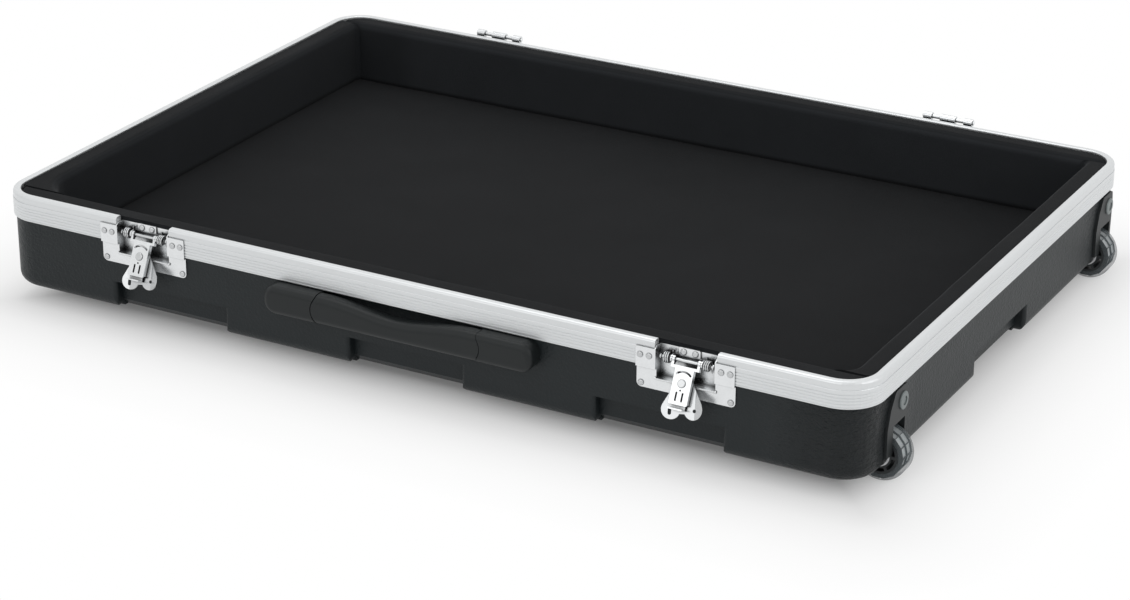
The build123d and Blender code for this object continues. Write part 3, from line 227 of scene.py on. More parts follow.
def shell_plastic(looks):
    """Pebbled moulding, drawn smoother and wrinkled at its corners, most at the wheels' end."""
    s = Shader("Pebbled polyethylene")
    x, y = s.axes("XY")
    at_end = abs(x).step(HALF_WIDTH - CORNER_STRETCH, HALF_WIDTH - CORNER_STRETCH / 4)
    at_side = abs(y).step(HALF_DEPTH - CORNER_STRETCH, HALF_DEPTH - CORNER_STRETCH / 4)
    corner = at_end * at_side * (x.step(-HALF_WIDTH, 0.0) * 0.9 + 0.1)
    pebble = s.cells(scale=420.0)
    fine = s.noise(scale=900.0, detail=2.0)
    waves = s.noise(scale=22.0, detail=3.0, stretch=(1, 1, 2))
    wrinkles = s.noise(scale=120.0, detail=4.0, roughness=0.65, stretch=(1, 1, 2.2))
    drawn = waves * 0.12 + wrinkles * (corner * 2.6 + 0.03)
    coarse = s.bump(drawn, strength=1.0, distance=4 * MM)
    grain = pebble * 0.6 + fine * 0.5
    return s.finish(
        Base_Color=s.mottle(waves, looks.shell_colour, 0.88, 1.12),
        Roughness=0.38 + fine * 0.16 - corner * 0.14,
        Normal=s.bump(grain, looks.pebble_strength, 0.8 * MM, coarse),
        Specular_IOR_Level=0.3,
    )


def velour(looks):
    """Black velour with painted light: the walls are painted lighter than the floor, less so near the
    left wall, a painted highlight runs along the crowns, and painted shade lies where the walls meet
    the floor.
    """
    s = Shader("Black velour")
    x, y, z = s.axes("XYZ")
    nap = s.noise(scale=1300.0, detail=2.0)
    brushed = s.noise(scale=11.0, detail=4.0, roughness=0.6)
    above_top = z - LINING_TOP
    off_floor = z.step(FOAM_FLOOR + 1 * MM, FOAM_FLOOR + 6 * MM)
    under_crown = 1.0 - above_top.step(-4 * MM, -1 * MM)
    off_left_wall = x.step(-HALF_WIDTH + 80 * MM, -HALF_WIDTH + 120 * MM)
    # Painted light: the walls' colour is lifted above the floor's, less so near the left wall.
    wall = off_floor * under_crown * (off_left_wall * 0.35 + 0.65)
    crown_start = above_top.step(-3.4 * MM, -1.6 * MM)
    crown_end = 1.0 - above_top.step(-1.4 * MM, -0.4 * MM)
    # Painted shade: a mask along the floor next to the wall pads.
    past_pads = (abs(x) - (HALF_WIDTH - FOAM_FACE)).most(abs(y) - (HALF_DEPTH - FOAM_FACE))
    on_floor = 1.0 - z.step(FOAM_FLOOR + 1.5 * MM, FOAM_FLOOR + 4 * MM)
    corner_shade = past_pads.step(-3.5 * MM, -0.5 * MM) * on_floor
    cloth_tone = s.mottle(brushed, looks.lining_colour, 0.7, 1.14)
    lit_wall_tone = s.mottle(brushed, looks.lining_colour, 2.1, 3.0)
    colour = s.tint(wall, cloth_tone, lit_wall_tone)
    # Painted highlight along the crown of each wall pad.
    colour = s.tint(crown_start * crown_end, colour, shade(looks.lining_colour, 1.7))
    # Painted shade darkens the floor in its corners at the wall pads.
    colour = s.tint(corner_shade * 0.15, colour, shade(looks.lining_colour, 0.1))
    return s.finish(
        Base_Color=colour,
        Roughness=0.9,
        Normal=s.bump(nap, strength=0.5, distance=0.5 * MM),
        Specular_IOR_Level=0.12,
        Sheen_Weight=0.05,
        Sheen_Roughness=0.4,
    )


def drawn_aluminium(looks):
    s = Shader("Drawn aluminium")
    along = s.noise(scale=700.0, detail=3.0, roughness=0.6, stretch=(0.03, 0.03, 1))
    smudge = s.noise(scale=9.0, detail=4.0, roughness=0.6)
    return s.finish(
        Base_Color=s.mottle(smudge, looks.valance_colour, 0.95, 1.03),
        Metallic=0.75,
        Roughness=0.28 + along * 0.14,
        Normal=s.bump(along, strength=0.12, distance=0.2 * MM),
    )


def bright_plate(name, looks, rough, ripple, crevice_shade=0.2, reach=9 * MM, shine=1.0):
    """Plated steel with painted shade: its colour darkens in crevices narrower than reach, down to the
    given share of the plate colour.
    """
    s = Shader(name)
    cloud = s.noise(scale=120.0, detail=4.0, roughness=0.65)
    wave = s.noise(scale=260.0, detail=2.0)
    plate = s.mottle(cloud, looks.plate_colour, 0.9 * shine, 1.05 * shine)
    shaded_plate = shade(looks.plate_colour, crevice_shade)
    return s.finish(
        # Painted shade: the plate colour falls to the darker share where other surfaces stand close.
        Base_Color=s.tint(s.crevices(reach).step(0.3, 0.9), shaded_plate, plate),
        Metallic=1.0,
        Roughness=rough + cloud * 0.1,
        Normal=s.bump(wave, ripple, 0.3 * MM),
    )


def dull_steel(name, colour, rough):
    s = Shader(name)
    cloud = s.noise(scale=240.0, detail=4.0, roughness=0.65)
    scuff = s.noise(scale=800.0, detail=3.0, roughness=0.6)
    return s.finish(
        Base_Color=s.mottle(cloud, colour, 0.82, 1.1),
        Metallic=0.9,
        Roughness=rough + scuff * 0.15,
        Normal=s.bump(scuff, strength=0.15, distance=0.1 * MM),
    )


def moulded_plastic(name, colour, rough):
    s = Shader(name)
    fine = s.noise(scale=1400.0, detail=2.0)
    cloud = s.noise(scale=40.0, detail=3.0)
    return s.finish(
        Base_Color=s.mottle(cloud, colour, 0.88, 1.12),
        Specular_IOR_Level=0.3,
        Roughness=rough + fine * 0.12,
        Normal=s.bump(fine, strength=0.25, distance=0.12 * MM),
    )


def smoky_urethane(looks):
    """Clear where it is looked into, dark where it turns away."""
    s = Shader("Smoky urethane")
    swirl = s.noise(scale=60.0, detail=3.0)
    edge_on = s.add("LayerWeight", {}, {"Blend": 0.18}, "Facing")
    return s.finish(
        Base_Color=s.mottle(swirl, looks.wheel_colour, 0.85, 1.15),
        Roughness=0.05 + swirl * 0.05,
        Alpha=edge_on * 0.95 + 0.18,
        Specular_IOR_Level=0.25,
    )


def painted_rivet():
    s = Shader("Grey rivet")
    cloud = s.noise(scale=90.0, detail=3.0)
    return s.finish(
        Base_Color=s.mottle(cloud, (0.2, 0.225, 0.225), 0.85, 1.15),
        Metallic=0.6,
        Roughness=0.36 + cloud * 0.12,
    )


# Settings

class CaseLooks(bpy.types.PropertyGroup):
    """Colours and finishes of the case."""

    shell_colour: bpy.props.FloatVectorProperty(
        name="Shell colour", description="Moulded shell", subtype="COLOR",
        min=0, max=1, default=(0.0088, 0.0128, 0.0144),
    )
    lining_colour: bpy.props.FloatVectorProperty(
        name="Lining colour", description="Velour on the foam", subtype="COLOR",
        min=0, max=1, default=(0.0101, 0.011, 0.0122),
    )
    valance_colour: bpy.props.FloatVectorProperty(
        name="Valance colour", description="Aluminium round the rim", subtype="COLOR",
        min=0, max=1, default=(0.718, 0.735, 0.743),
    )
    plate_colour: bpy.props.FloatVectorProperty(
        name="Plating colour", description="Latches and hinges", subtype="COLOR",
        min=0, max=1, default=(0.76, 0.775, 0.785),
    )
    wheel_colour: bpy.props.FloatVectorProperty(
        name="Wheel colour", description="Translucent tyres", subtype="COLOR",
        min=0, max=1, default=(0.15, 0.176, 0.188),
    )
    pebble_strength: bpy.props.FloatProperty(
        name="Pebble strength", description="How strongly the shell's grain shows",
        min=0, max=1, default=0.8,
    )


class CaseSizes(bpy.types.PropertyGroup):
    """Sizes of the pieces that are made here."""

    rib_pitch: bpy.props.FloatProperty(
        name="Rib pitch", description="Distance between the valance's ribs",
        unit="LENGTH", default=3.1 * MM,
    )
    rib_depth: bpy.props.FloatProperty(
        name="Rib depth", description="Depth of the grooves between ribs",
        unit="LENGTH", default=0.5 * MM,
    )
    foam_spacing: bpy.props.FloatProperty(
        name="Foam detail", description="Mesh size of the foam lining",
        unit="LENGTH", default=14 * MM,
    )
    foam_unevenness: bpy.props.FloatProperty(
        name="Foam unevenness", description="How far the covered foam departs from flat",
        unit="LENGTH", default=0.9 * MM,
    )


def current_looks():
    return bpy.context.scene.case_looks


def current_sizes():
    return bpy.context.scene.case_sizes


# Pieces

def both_sides(*names):
    return [f"{name}_{side}" for name in names for side in ("left", "right")]


def both_ends(*names):
    return [f"{name}_{end}" for name in names for end in ("front", "back")]


def paint(material, *nodes):
    """Gives CAD nodes a material."""
    for node in nodes:
        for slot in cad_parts[node].material_slots:
            slot.material = material


def add_piece(name, mesh, materials, body):
    """Puts a finished mesh in the scene; a face with no material of its number gets the last."""
    piece = bpy.data.objects.new(name, mesh)
    bpy.context.scene.collection.objects.link(piece)
    painted = [face.material_index for face in mesh.polygons]
    mesh.materials.clear()
    for material in materials:
        mesh.materials.append(material)
    last = len(materials) - 1
    mesh.polygons.foreach_set("material_index", [min(index, last) for index in painted])
    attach(piece, body)
    return piece


def closed_ring(bm, places):
    """Adds points and the edges that join them in a ring, and returns both."""
    verts = [bm.verts.new(place) for place in places]
    edges = [bm.edges.new(pair) for pair in zip(verts, verts[1:] + verts[:1])]
    return verts, edges


def finished_mesh(bm, name):
    mesh = bpy.data.meshes.new(name)
    bm.to_mesh(mesh)
    bm.free()
    return mesh


def merge_and_face_outwards(bm):
    bmesh.ops.remove_doubles(bm, verts=bm.verts, dist=TOUCHING)
    bmesh.ops.recalc_face_normals(bm, faces=bm.faces)


# Valance

SKIRT = 2.6 * MM
FOOT_BEVEL = 0.5 * MM
FIRST_RIB = 1.3 * MM
RIB_SLOPE = 0.4 * MM
ABOVE_RIBS = 0.6 * MM
GROOVE_DEPTH = 0.7 * MM
GROOVE_HEIGHT = 1.1 * MM
GROOVE_BEVEL = (0.3 * MM, 0.4 * MM)
BEAD_HEIGHT = 7.2 * MM
BEAD_STEP = 0.4 * MM
BEAD_ROUND = 3.3 * MM
BEAD_INNER_ROUND = 1.3 * MM
LEG_OUTSIDE = 6.6 * MM
LEG_INSIDE = 8.6 * MM
LEG_HEIGHT = 6 * MM
ROUND_STEPS = 5
CORNER_STEPS = 10


def valance_section(rib_pitch, rib_depth):
    """Closed section as (inset from the outer face, height), from the skirt's foot up its face."""
    bead_low = RIM_TOP - BEAD_HEIGHT
    groove_low = bead_low - GROOVE_HEIGHT
    points = [(SKIRT, SKIRT_LOW), (FOOT_BEVEL, SKIRT_LOW), (0.0, SKIRT_LOW + FOOT_BEVEL)]
    height = SKIRT_LOW + FIRST_RIB
    while height + rib_pitch < groove_low - ABOVE_RIBS:
        points += [
            (0.0, height),
            (rib_depth, height + RIB_SLOPE),
            (rib_depth, height + 2 * RIB_SLOPE),
            (0.0, height + 3 * RIB_SLOPE),
        ]
        height += rib_pitch
    bevel_inset, bevel_drop = GROOVE_BEVEL
    points += [
        (0.0, groove_low - bevel_drop),
        (bevel_inset, groove_low),
        (GROOVE_DEPTH, groove_low),
        (GROOVE_DEPTH, bead_low),
        (BEAD_STEP, bead_low),
    ]
    rounds = (
        (BEAD_ROUND, BEAD_STEP + BEAD_ROUND, math.pi),
        (BEAD_INNER_ROUND, LEG_INSIDE - BEAD_INNER_ROUND, math.pi / 2),
    )
    for radius, across, start in rounds:
        for step in range(ROUND_STEPS + 1):
            angle = start - step * math.pi / 2 / ROUND_STEPS
            rise = RIM_TOP - radius + radius * math.sin(angle)
            points.append((across + radius * math.cos(angle), rise))
    points += [
        (LEG_INSIDE, bead_low - LEG_HEIGHT),
        (LEG_OUTSIDE, bead_low - LEG_HEIGHT),
        (LEG_OUTSIDE, bead_low),
        (SKIRT, bead_low),
    ]
    return points


def only(kind, geometry):
    return [part for part in geometry if isinstance(part, kind)]


def sweep_section(section, start_x, runs):
    """Draws a section along the rim from the front face: straight runs in metres and quarter turns."""
    bm = bmesh.new()
    places = [(start_x, inset - HALF_DEPTH, height) for inset, height in section]
    _, ring = closed_ring(bm, places)
    bmesh.ops.edgeloop_fill(bm, edges=ring)
    position = Vector((start_x, -HALF_DEPTH, 0))
    heading = Vector((1, 0, 0))
    inward = Vector((0, 1, 0))
    turn = Matrix.Rotation(math.pi / 2, 4, "Z")
    for run in runs:
        if run == "turn":
            centre = position + inward * CORNER_RADIUS
            turned = bmesh.ops.spin(
                bm, geom=ring, cent=centre, axis=(0, 0, 1), angle=math.pi / 2,
                steps=CORNER_STEPS, use_merge=False, use_normal_flip=False, use_duplicate=False,
            )
            ring = only(bmesh.types.BMEdge, turned["geom_last"])
            position = centre + turn @ (position - centre)
            heading = turn @ heading
            inward = turn @ inward
        else:
            pulled = bmesh.ops.extrude_edge_only(bm, edges=ring)["geom"]
            moved = only(bmesh.types.BMVert, pulled)
            bmesh.ops.translate(bm, verts=moved, vec=heading * run)
            ring = only(bmesh.types.BMEdge, pulled)
            position += heading * run
    bmesh.ops.edgeloop_fill(bm, edges=ring)
    merge_and_face_outwards(bm)
    return finished_mesh(bm, "valance")


class CASE_OT_valance(bpy.types.Operator):
    """Ribbed aluminium valance round the mouth of the case"""

    bl_idname = "case.valance"
    bl_label = "Valance"

    def execute(self, context):
        material = drawn_aluminium(current_looks())
        section = valance_section(current_sizes().rib_pitch, current_sizes().rib_depth)
        front = sweep_section(section, -LATCH_GAP_START, [2 * LATCH_GAP_START])
        piece = add_piece("valance_front", front, [material], "case")
        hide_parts("rim_valance_front")
        start = LATCH_GAP_START + LATCH_GAP
        half_run = HALF_WIDTH - CORNER_RADIUS
        side_run = 2 * (HALF_DEPTH - CORNER_RADIUS)
        runs = [
            half_run - start, "turn", side_run, "turn", 2 * half_run, "turn",
            side_run, "turn", half_run - start,
        ]
        around = sweep_section(section, start, runs)
        piece = add_piece("valance_round", around, [material], "case")
        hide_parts("rim_valance")
        return {"FINISHED"}


# Lining

PADS = ["floor", "wall_front", "wall_back", "wall_left", "wall_right"]

# The axis across each wall pad, and the round on its inner edge
THICK_AXIS = {"wall_front": 1, "wall_back": 1, "wall_left": 0, "wall_right": 0}
CROWNS = {"wall_front": 4 * MM, "wall_back": 9 * MM, "wall_left": 8 * MM, "wall_right": 6 * MM}

# The round at each corner, by its signs in x and y, and the cuts that let a pad bend there
CORNER_FILL = {(-1, -1): 46 * MM, (1, -1): 20 * MM, (-1, 1): 4 * MM, (1, 1): 8 * MM}
CORNER_CUTS = [place * MM for place in (1, 2, 4, 7, 10, 14, 19, 25, 32, 39, 46)]

# The front pad is notched back behind each latch, and its lip comes forward over the shell
NOTCH_BACK = 16 * MM
LIP_FRONT = 11.6 * MM
LIP_LOW = 96.6 * MM
LIP_STEP = 0.5 * MM

FLAT_ANGLE = math.radians(0.5)
SHARP_ANGLE = math.radians(35)

# The cloth's unevenness: waves with finer ripples, sunk by a share of its height
WAVES_PER_METRE = 11
RIPPLES_PER_WAVE = 2.9
RIPPLE_SHARE = 0.3
SUNK_SHARE = 0.5
SEED_STEP = 7.3


def cut_across(bm, place, normal):
    geom = [*bm.verts, *bm.edges, *bm.faces]
    bmesh.ops.bisect_plane(bm, geom=geom, dist=TOUCHING, plane_co=place, plane_no=normal)


def wrap_crown(bm, name):
    """Draws a wall pad's top up under the bead and its inner edge out to a tighter round."""
    axis = THICK_AXIS[name]
    half = (HALF_WIDTH, HALF_DEPTH)[axis]
    shrink = CROWNS[name] / FOAM_ROUND
    for vert in bm.verts:
        if vert.co.z < FOAM_TOP - FOAM_ROUND - SLACK:
            continue
        vert.co.z = LINING_TOP - (FOAM_TOP - vert.co.z) * shrink
        inset = half - abs(vert.co[axis])
        if inset > FOAM_FACE - FOAM_ROUND - SLACK:
            inset = FOAM_FACE - (FOAM_FACE - inset) * shrink
            vert.co[axis] = math.copysign(half - inset, vert.co[axis])


def merge_flat_faces(bm):
    flat = [
        edge for edge in bm.edges
        if len(edge.link_faces) == 2 and edge.calc_face_angle() < FLAT_ANGLE
    ]
    bmesh.ops.dissolve_edges(bm, edges=flat, use_verts=True)


def cut_evenly(bm, low, high, spacing):
    """Cuts a form across each axis, in steps of about the spacing."""
    for axis in range(3):
        steps = max(2, round((high[axis] - low[axis]) / spacing))
        normal = Vector([float(i == axis) for i in range(3)])
        for step in range(1, steps):
            cut_across(bm, low + (high - low) * (step / steps), normal)


def cover_notches(bm):
    """Brings the front pad's top forward over the shell, close behind each latch plate."""
    for height in (LIP_LOW, LIP_LOW - LIP_STEP):
        cut_across(bm, (0, 0, height), (0, 0, 1))
    for vert in bm.verts:
        inset = HALF_DEPTH - abs(vert.co.y)
        if vert.co.z > LIP_LOW - SLACK and abs(inset - NOTCH_BACK) < 2 * SLACK:
            vert.co.y -= NOTCH_BACK - LIP_FRONT


def fill_corners(bm):
    """Rounds a side pad's inner face into the front and back pads, as cloth is drawn round."""
    for from_corner in CORNER_CUTS:
        for side in (-1, 1):
            place = (0, side * (HALF_DEPTH - FOAM_FACE - from_corner), 0)
            cut_across(bm, place, (0, 1, 0))
    for vert in bm.verts:
        signs = [int(math.copysign(1, vert.co[axis])) for axis in (0, 1)]
        radius = CORNER_FILL[tuple(signs)]
        from_corner = max(0.0, HALF_DEPTH - FOAM_FACE - abs(vert.co.y))
        if from_corner < radius:
            reach = radius - math.sqrt(radius ** 2 - (radius - from_corner) ** 2)
            inset = HALF_WIDTH - abs(vert.co.x)
            share = max(0.0, inset - FOAM_OUTER) / (FOAM_FACE - FOAM_OUTER)
            vert.co.x -= math.copysign(reach * min(1.0, share), vert.co.x)


def make_uneven(bm, unevenness, seed):
    """Lifts and sinks every point a little, as glued cloth lies."""
    bm.normal_update()
    for vert in bm.verts:
        sample = vert.co * WAVES_PER_METRE + Vector((seed, 0, 0))
        wave = noise.noise(sample) * (1 - RIPPLE_SHARE)
        ripple = noise.noise(sample * RIPPLES_PER_WAVE) * RIPPLE_SHARE
        vert.co += vert.normal * (wave + ripple - SUNK_SHARE) * unevenness


def soft_pad(name, spacing, unevenness, seed):
    """A foam node's form as a lining pad, cut into an even mesh, rounded and made uneven."""
    node = f"foam_{name}"
    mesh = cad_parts[node].data.copy()
    low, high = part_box(node)
    bm = bmesh.new()
    bm.from_mesh(mesh)
    bmesh.ops.remove_doubles(bm, verts=bm.verts, dist=MERGING)
    if name in THICK_AXIS:
        wrap_crown(bm, name)
    merge_flat_faces(bm)
    cut_evenly(bm, low, high, spacing)
    if name == "wall_front":
        cover_notches(bm)
    if name in ("wall_left", "wall_right"):
        fill_corners(bm)
    make_uneven(bm, unevenness, seed)
    for face in bm.faces:
        face.smooth = True
    for edge in bm.edges:
        edge.smooth = edge.calc_face_angle(0) < SHARP_ANGLE
    bm.to_mesh(mesh)
    bm.free()
    return mesh


class CASE_OT_lining(bpy.types.Operator):
    """Velour-covered foam floor and wall pads"""

    bl_idname = "case.lining"
    bl_label = "Lining"

    def execute(self, context):
        material = velour(current_looks())
        sizes = current_sizes()
        for number, name in enumerate(PADS):
            mesh = soft_pad(name, sizes.foam_spacing, sizes.foam_unevenness, number * SEED_STEP)
            piece = add_piece(f"lining_{name}", mesh, [material], "case")
            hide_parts(f"foam_{name}")
        return {"FINISHED"}


# Shell, latches, hinges and handles

class CASE_OT_shell(bpy.types.Operator):
    """Moulded shell and its rest feet"""

    bl_idname = "case.shell"
    bl_label = "Shell"

    def execute(self, context):
        paint(shell_plastic(current_looks()), "base_shell")
        paint(moulded_plastic("Foot rubber", (0.016, 0.016, 0.016), rough=0.7), "rest_feet")
        return {"FINISHED"}


class CASE_OT_latches(bpy.types.Operator):
    """Two butterfly latches with their plates, springs and rivets"""

    bl_idname = "case.latches"
    bl_label = "Latches"

    def execute(self, context):
        looks = current_looks()
        # Each plate below gets painted shade in its crevices, darkest share and reach given per part.
        plate = bright_plate(
            "Bright zinc plate", looks, rough=0.2, ripple=0.12, crevice_shade=0.16, reach=12 * MM,
        )
        paint(plate, *both_sides("latch_dish", "latch_bracket"))
        polished = bright_plate(
            "Bright nickel plate", looks, rough=0.1, ripple=0.16, crevice_shade=0.12, reach=7 * MM,
            shine=0.96,
        )
        paint(polished, *both_sides("latch_link", "latch_hook"))
        pressed = bright_plate(
            "Pressed wing", looks, rough=0.14, ripple=0.2, crevice_shade=0.12, reach=6 * MM, shine=0.72,
        )
        paint(pressed, *both_sides("latch_wing"))
        turned = bright_plate(
            "Turned steel", looks, rough=0.07, ripple=0.05, crevice_shade=0.04, reach=5 * MM, shine=0.8,
        )
        paint(turned, *both_sides("latch_pivot_pin", "latch_springs"))
        dulled = bright_plate(
            "Dulled rivets", looks, rough=0.12, ripple=0.4, crevice_shade=0.04, reach=3 * MM, shine=0.72,
        )
        paint(dulled, *both_sides("latch_rivets", "latch_bracket_rivets", "latch_post"))
        return {"FINISHED"}


class CASE_OT_hinges(bpy.types.Operator):
    """Hinge leaves and rods at the back"""

    bl_idname = "case.hinges"
    bl_label = "Hinges"

    def execute(self, context):
        # The hinge plate gets painted shade in its crevices at the default share.
        plate = bright_plate("Hinge plate", current_looks(), rough=0.18, ripple=0.12)
        paint(plate, *both_sides("hinge_leaf", "hinge_rod", "hinge_rivets"))
        return {"FINISHED"}


class CASE_OT_handles(bpy.types.Operator):
    """Carrying handle and pull-out tow handle"""

    bl_idname = "case.handles"
    bl_label = "Handles"

    def execute(self, context):
        black = moulded_plastic("Handle plastic", (0.0105, 0.0132, 0.0138), rough=0.38)
        paint(black, "handle_grip", "handle_cap_left", "handle_cap_right", "tow_grip")
        steel = dull_steel("Zinc screws", (0.6, 0.61, 0.62), rough=0.3)
        paint(steel, "handle_screws", "foot_screws")
        tube = dull_steel("Anodised tube", (0.6, 0.6, 0.62), rough=0.35)
        paint(tube, "tow_inner_tubes", "tow_outer_tubes")
        paint(moulded_plastic("Clamp plastic", (0.04, 0.043, 0.044), rough=0.45), "tow_clamps")
        return {"FINISHED"}


# Wheels

CORE_INSIDE = 19.05 * MM
CORE_OUTSIDE = 24.2 * MM
CORE_HALF = 10.4 * MM
CORE_POCKETS = 14
CORE_RIB = 0.5 * MM
POCKET_SLOPE = 0.3 * MM
POCKET_DEPTH = 1.8 * MM


def ribbed_core(centre):
    """Moulded core that shows through the tyre: two rows of pockets between ribs."""
    bm = bmesh.new()
    section = [
        (CORE_INSIDE, -CORE_HALF), (CORE_OUTSIDE, -CORE_HALF), (CORE_OUTSIDE, 0.0),
        (CORE_OUTSIDE, CORE_HALF), (CORE_INSIDE, CORE_HALF),
    ]
    verts, ring = closed_ring(bm, [centre + Vector((radius, y, 0)) for radius, y in section])
    bmesh.ops.spin(
        bm, geom=[*verts, *ring], cent=centre, axis=(0, 1, 0), angle=2 * math.pi,
        steps=CORE_POCKETS, use_merge=True, use_duplicate=False,
    )
    merge_and_face_outwards(bm)
    bm.normal_update()

    def on_tread(face):
        away = face.calc_center_median() - centre
        away.y = 0
        return abs(face.normal.y) < 0.5 and face.normal.dot(away) > 0

    pockets = [face for face in bm.faces if on_tread(face)]
    bmesh.ops.inset_individual(bm, faces=pockets, thickness=CORE_RIB, depth=0.0)
    bmesh.ops.inset_individual(bm, faces=pockets, thickness=POCKET_SLOPE, depth=-POCKET_DEPTH)
    for face in pockets:
        face.material_index = 1
    return finished_mesh(bm, "core")


class CASE_OT_wheels(bpy.types.Operator):
    """Skate wheels with their forks, axles and rivets"""

    bl_idname = "case.wheels"
    bl_label = "Wheels"

    def execute(self, context):
        paint(smoky_urethane(current_looks()), *both_ends("wheel_tyre"))
        hub = moulded_plastic("Hub plastic", (0.03, 0.034, 0.036), rough=0.3)
        paint(hub, *both_ends("wheel_hub"))
        ribs = moulded_plastic("Core ribs", (0.12, 0.135, 0.142), rough=0.3)
        pockets = moulded_plastic("Core pockets", (0.8, 0.84, 0.85), rough=0.3)
        for end in ("front", "back"):
            low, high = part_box(f"wheel_tyre_{end}")
            mesh = ribbed_core((low + high) / 2)
            add_piece(f"wheel_core_{end}", mesh, [ribs, pockets], f"wheel_{end}")
        fork = moulded_plastic("Fork plastic", (0.02, 0.023, 0.024), rough=0.4)
        paint(fork, *both_ends("wheel_fork"))
        steel = dull_steel("Axle steel", (0.62, 0.63, 0.64), rough=0.25)
        paint(steel, *both_ends("wheel_bearings", "wheel_axle"))
        paint(painted_rivet(), *both_ends("wheel_rivet"))
        return {"FINISHED"}


# Stage

CAMERA_PLACE = (1.4718, -2.6839, 1.2972)
CAMERA_PAN, CAMERA_PITCH, CAMERA_ROLL = 0.5033, 1.1581, 0.0041
CAMERA_LENS = 100.11
CAMERA_SENSOR = 36.0
FLOOR_REACH = 30
FLOOR_GREY = (0.92, 0.92, 0.92, 1)
WHITE = (1, 1, 1, 1)
AMBIENT = 0.55
CAMERA_SIDE_DARK = 0.75
SHADOW_REACH = (-50 * MM, 165 * MM)
SHADOW_STOPS = ((0.0, 0.1), (0.22, 0.5), (0.4, 0.72), (0.7, 0.9), (1.0, 1.0))


def area_light(name, place, size, power):
    """A rectangular lamp that looks at the case."""
    data = bpy.data.lights.new(name, "AREA")
    data.shape = "RECTANGLE"
    data.size, data.size_y = size
    data.energy = power
    lamp = bpy.data.objects.new(name, data)
    lamp.location = place
    aim = -Vector(place)
    lamp.rotation_euler = aim.to_track_quat("-Z", "Y").to_euler()
    bpy.context.scene.collection.objects.link(lamp)


def ray_kinds(shader):
    """1 for rays from the camera, in reflections and through glass, in that order."""
    kinds = ("Is Camera Ray", "Is Glossy Ray", "Is Transmission Ray")
    return [shader.add("LightPath", output=kind) for kind in kinds]


def white_floor():
    """Plain white, through which the case's shadow shows the more, the nearer it is to the case."""
    s = Shader("White floor")
    x, y = s.axes("XY")
    over_x = abs(x) - HALF_WIDTH
    over_y = abs(y) - HALF_DEPTH
    outside_x = over_x.most(0.0)
    outside_y = over_y.most(0.0)
    outside = (outside_x * outside_x + outside_y * outside_y).root()
    distance = outside + over_x.most(over_y).least(0.0)
    start, end = SHADOW_REACH
    stops = [(place, (level, level, level, 1)) for place, level in SHADOW_STOPS]
    white = s.add("ValToRGB", {"stops": stops}, {0: (distance - start) / (end - start)})
    camera, glossy, through = ray_kinds(s)
    seen = camera.most(glossy.most(through))
    diffuse = s.add("BsdfDiffuse", {}, {"Color": FLOOR_GREY})
    glow = s.add("Emission", {}, {"Color": WHITE, "Strength": 1.0})
    return s.end(s.add("MixShader", {}, {0: seen * white, 1: diffuse, 2: glow}))


def studio_world():
    """White to the camera, soft light for the rest, and a darker camera side in reflections."""
    s = Shader("Studio", "worlds")
    y, z = s.axes("YZ", "Generated")
    band = z.step(-0.02, 0.03) * (1.0 - z.step(0.09, 0.14))
    camera_side = (-1.0 * y).step(0.1, 0.5)
    mirrored = 1.0 - band * camera_side * CAMERA_SIDE_DARK
    camera, glossy, through = ray_kinds(s)
    plain = camera.most(through)
    lit = glossy * (mirrored - AMBIENT) + AMBIENT
    strength = plain * (1.0 - lit) + lit
    background = s.add("Background", {}, {"Color": WHITE, "Strength": strength})
    return s.end(background, "OutputWorld")


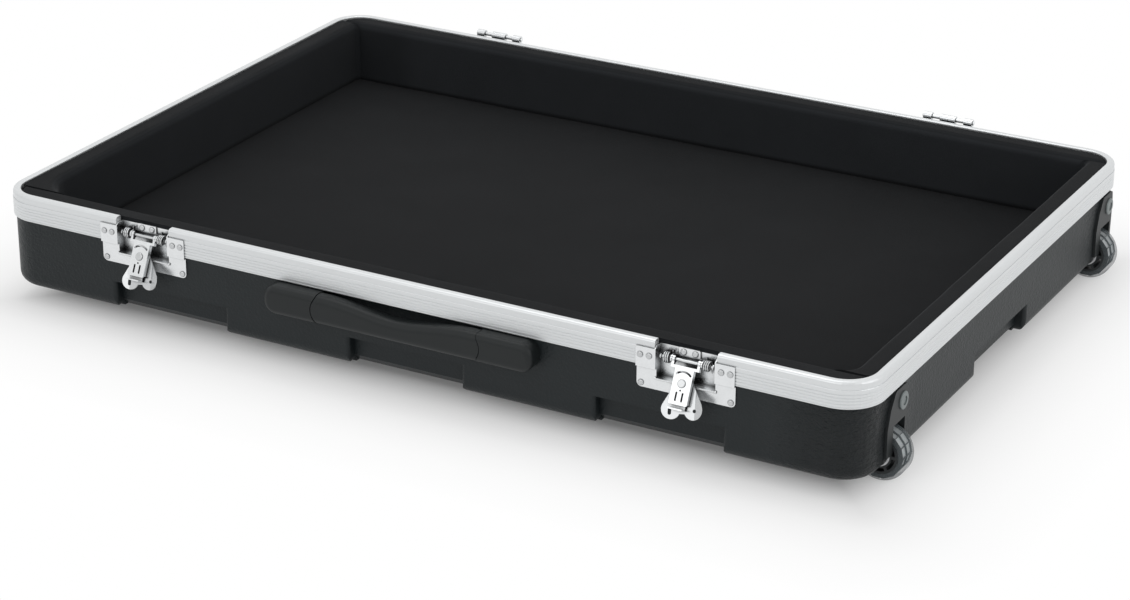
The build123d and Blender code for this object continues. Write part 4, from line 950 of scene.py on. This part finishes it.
class CASE_OT_stage(bpy.types.Operator):
    """Pale floor, soft studio light and the camera"""

    bl_idname = "case.stage"
    bl_label = "Stage"

    def execute(self, context):
        scene = context.scene
        bm = bmesh.new()
        bmesh.ops.create_grid(bm, x_segments=1, y_segments=1, size=FLOOR_REACH)
        bmesh.ops.translate(bm, verts=bm.verts, vec=(0, 0, FLOOR_LEVEL))
        floor = bpy.data.objects.new("floor", finished_mesh(bm, "floor"))
        scene.collection.objects.link(floor)
        floor.data.materials.append(white_floor())
        scene.world = studio_world()

        area_light("top", place=(-0.5, 0.5, 2.4), size=(1.6, 1.2), power=11)
        area_light("right", place=(2.4, -0.2, 1.3), size=(1.8, 1.3), power=7)
        area_light("front", place=(-0.4, -2.7, 1.5), size=(2.6, 1.5), power=8)

        data = bpy.data.cameras.new("camera")
        data.lens = CAMERA_LENS
        data.sensor_width = CAMERA_SENSOR
        camera = bpy.data.objects.new("camera", data)
        turn = (
            Matrix.Rotation(CAMERA_PAN, 4, "Z")
            @ Matrix.Rotation(CAMERA_PITCH, 4, "X")
            @ Matrix.Rotation(CAMERA_ROLL, 4, "Z")
        )
        camera.matrix_world = Matrix.Translation(CAMERA_PLACE) @ turn
        scene.collection.objects.link(camera)
        scene.camera = camera
        scene.view_settings.view_transform = "Standard"
        return {"FINISHED"}


# Add-on

OPERATORS = [
    CASE_OT_stage, CASE_OT_shell, CASE_OT_valance, CASE_OT_lining, CASE_OT_latches,
    CASE_OT_hinges, CASE_OT_handles, CASE_OT_wheels,
]


class CASE_PT_panel(bpy.types.Panel):
    """Lists the pieces of the case and their settings"""

    bl_idname = "CASE_PT_panel"
    bl_label = "Mixer Case"
    bl_space_type = "VIEW_3D"
    bl_region_type = "UI"
    bl_category = "Mixer Case"

    def draw(self, context):
        for group in (context.scene.case_looks, context.scene.case_sizes):
            for name in group.__annotations__:
                self.layout.prop(group, name)
        for operator in OPERATORS:
            self.layout.operator(operator.bl_idname)


CLASSES = [CaseLooks, CaseSizes, *OPERATORS, CASE_PT_panel]


def register():
    for cls in CLASSES:
        bpy.utils.register_class(cls)
    bpy.types.Scene.case_looks = bpy.props.PointerProperty(type=CaseLooks)
    bpy.types.Scene.case_sizes = bpy.props.PointerProperty(type=CaseSizes)


def unregister():
    del bpy.types.Scene.case_looks
    del bpy.types.Scene.case_sizes
    for cls in reversed(CLASSES):
        bpy.utils.unregister_class(cls)


def main():
    register()
    for operator in OPERATORS:
        group, name = operator.bl_idname.split(".")
        getattr(getattr(bpy.ops, group), name)()


if __name__ == "__main__":
    main()
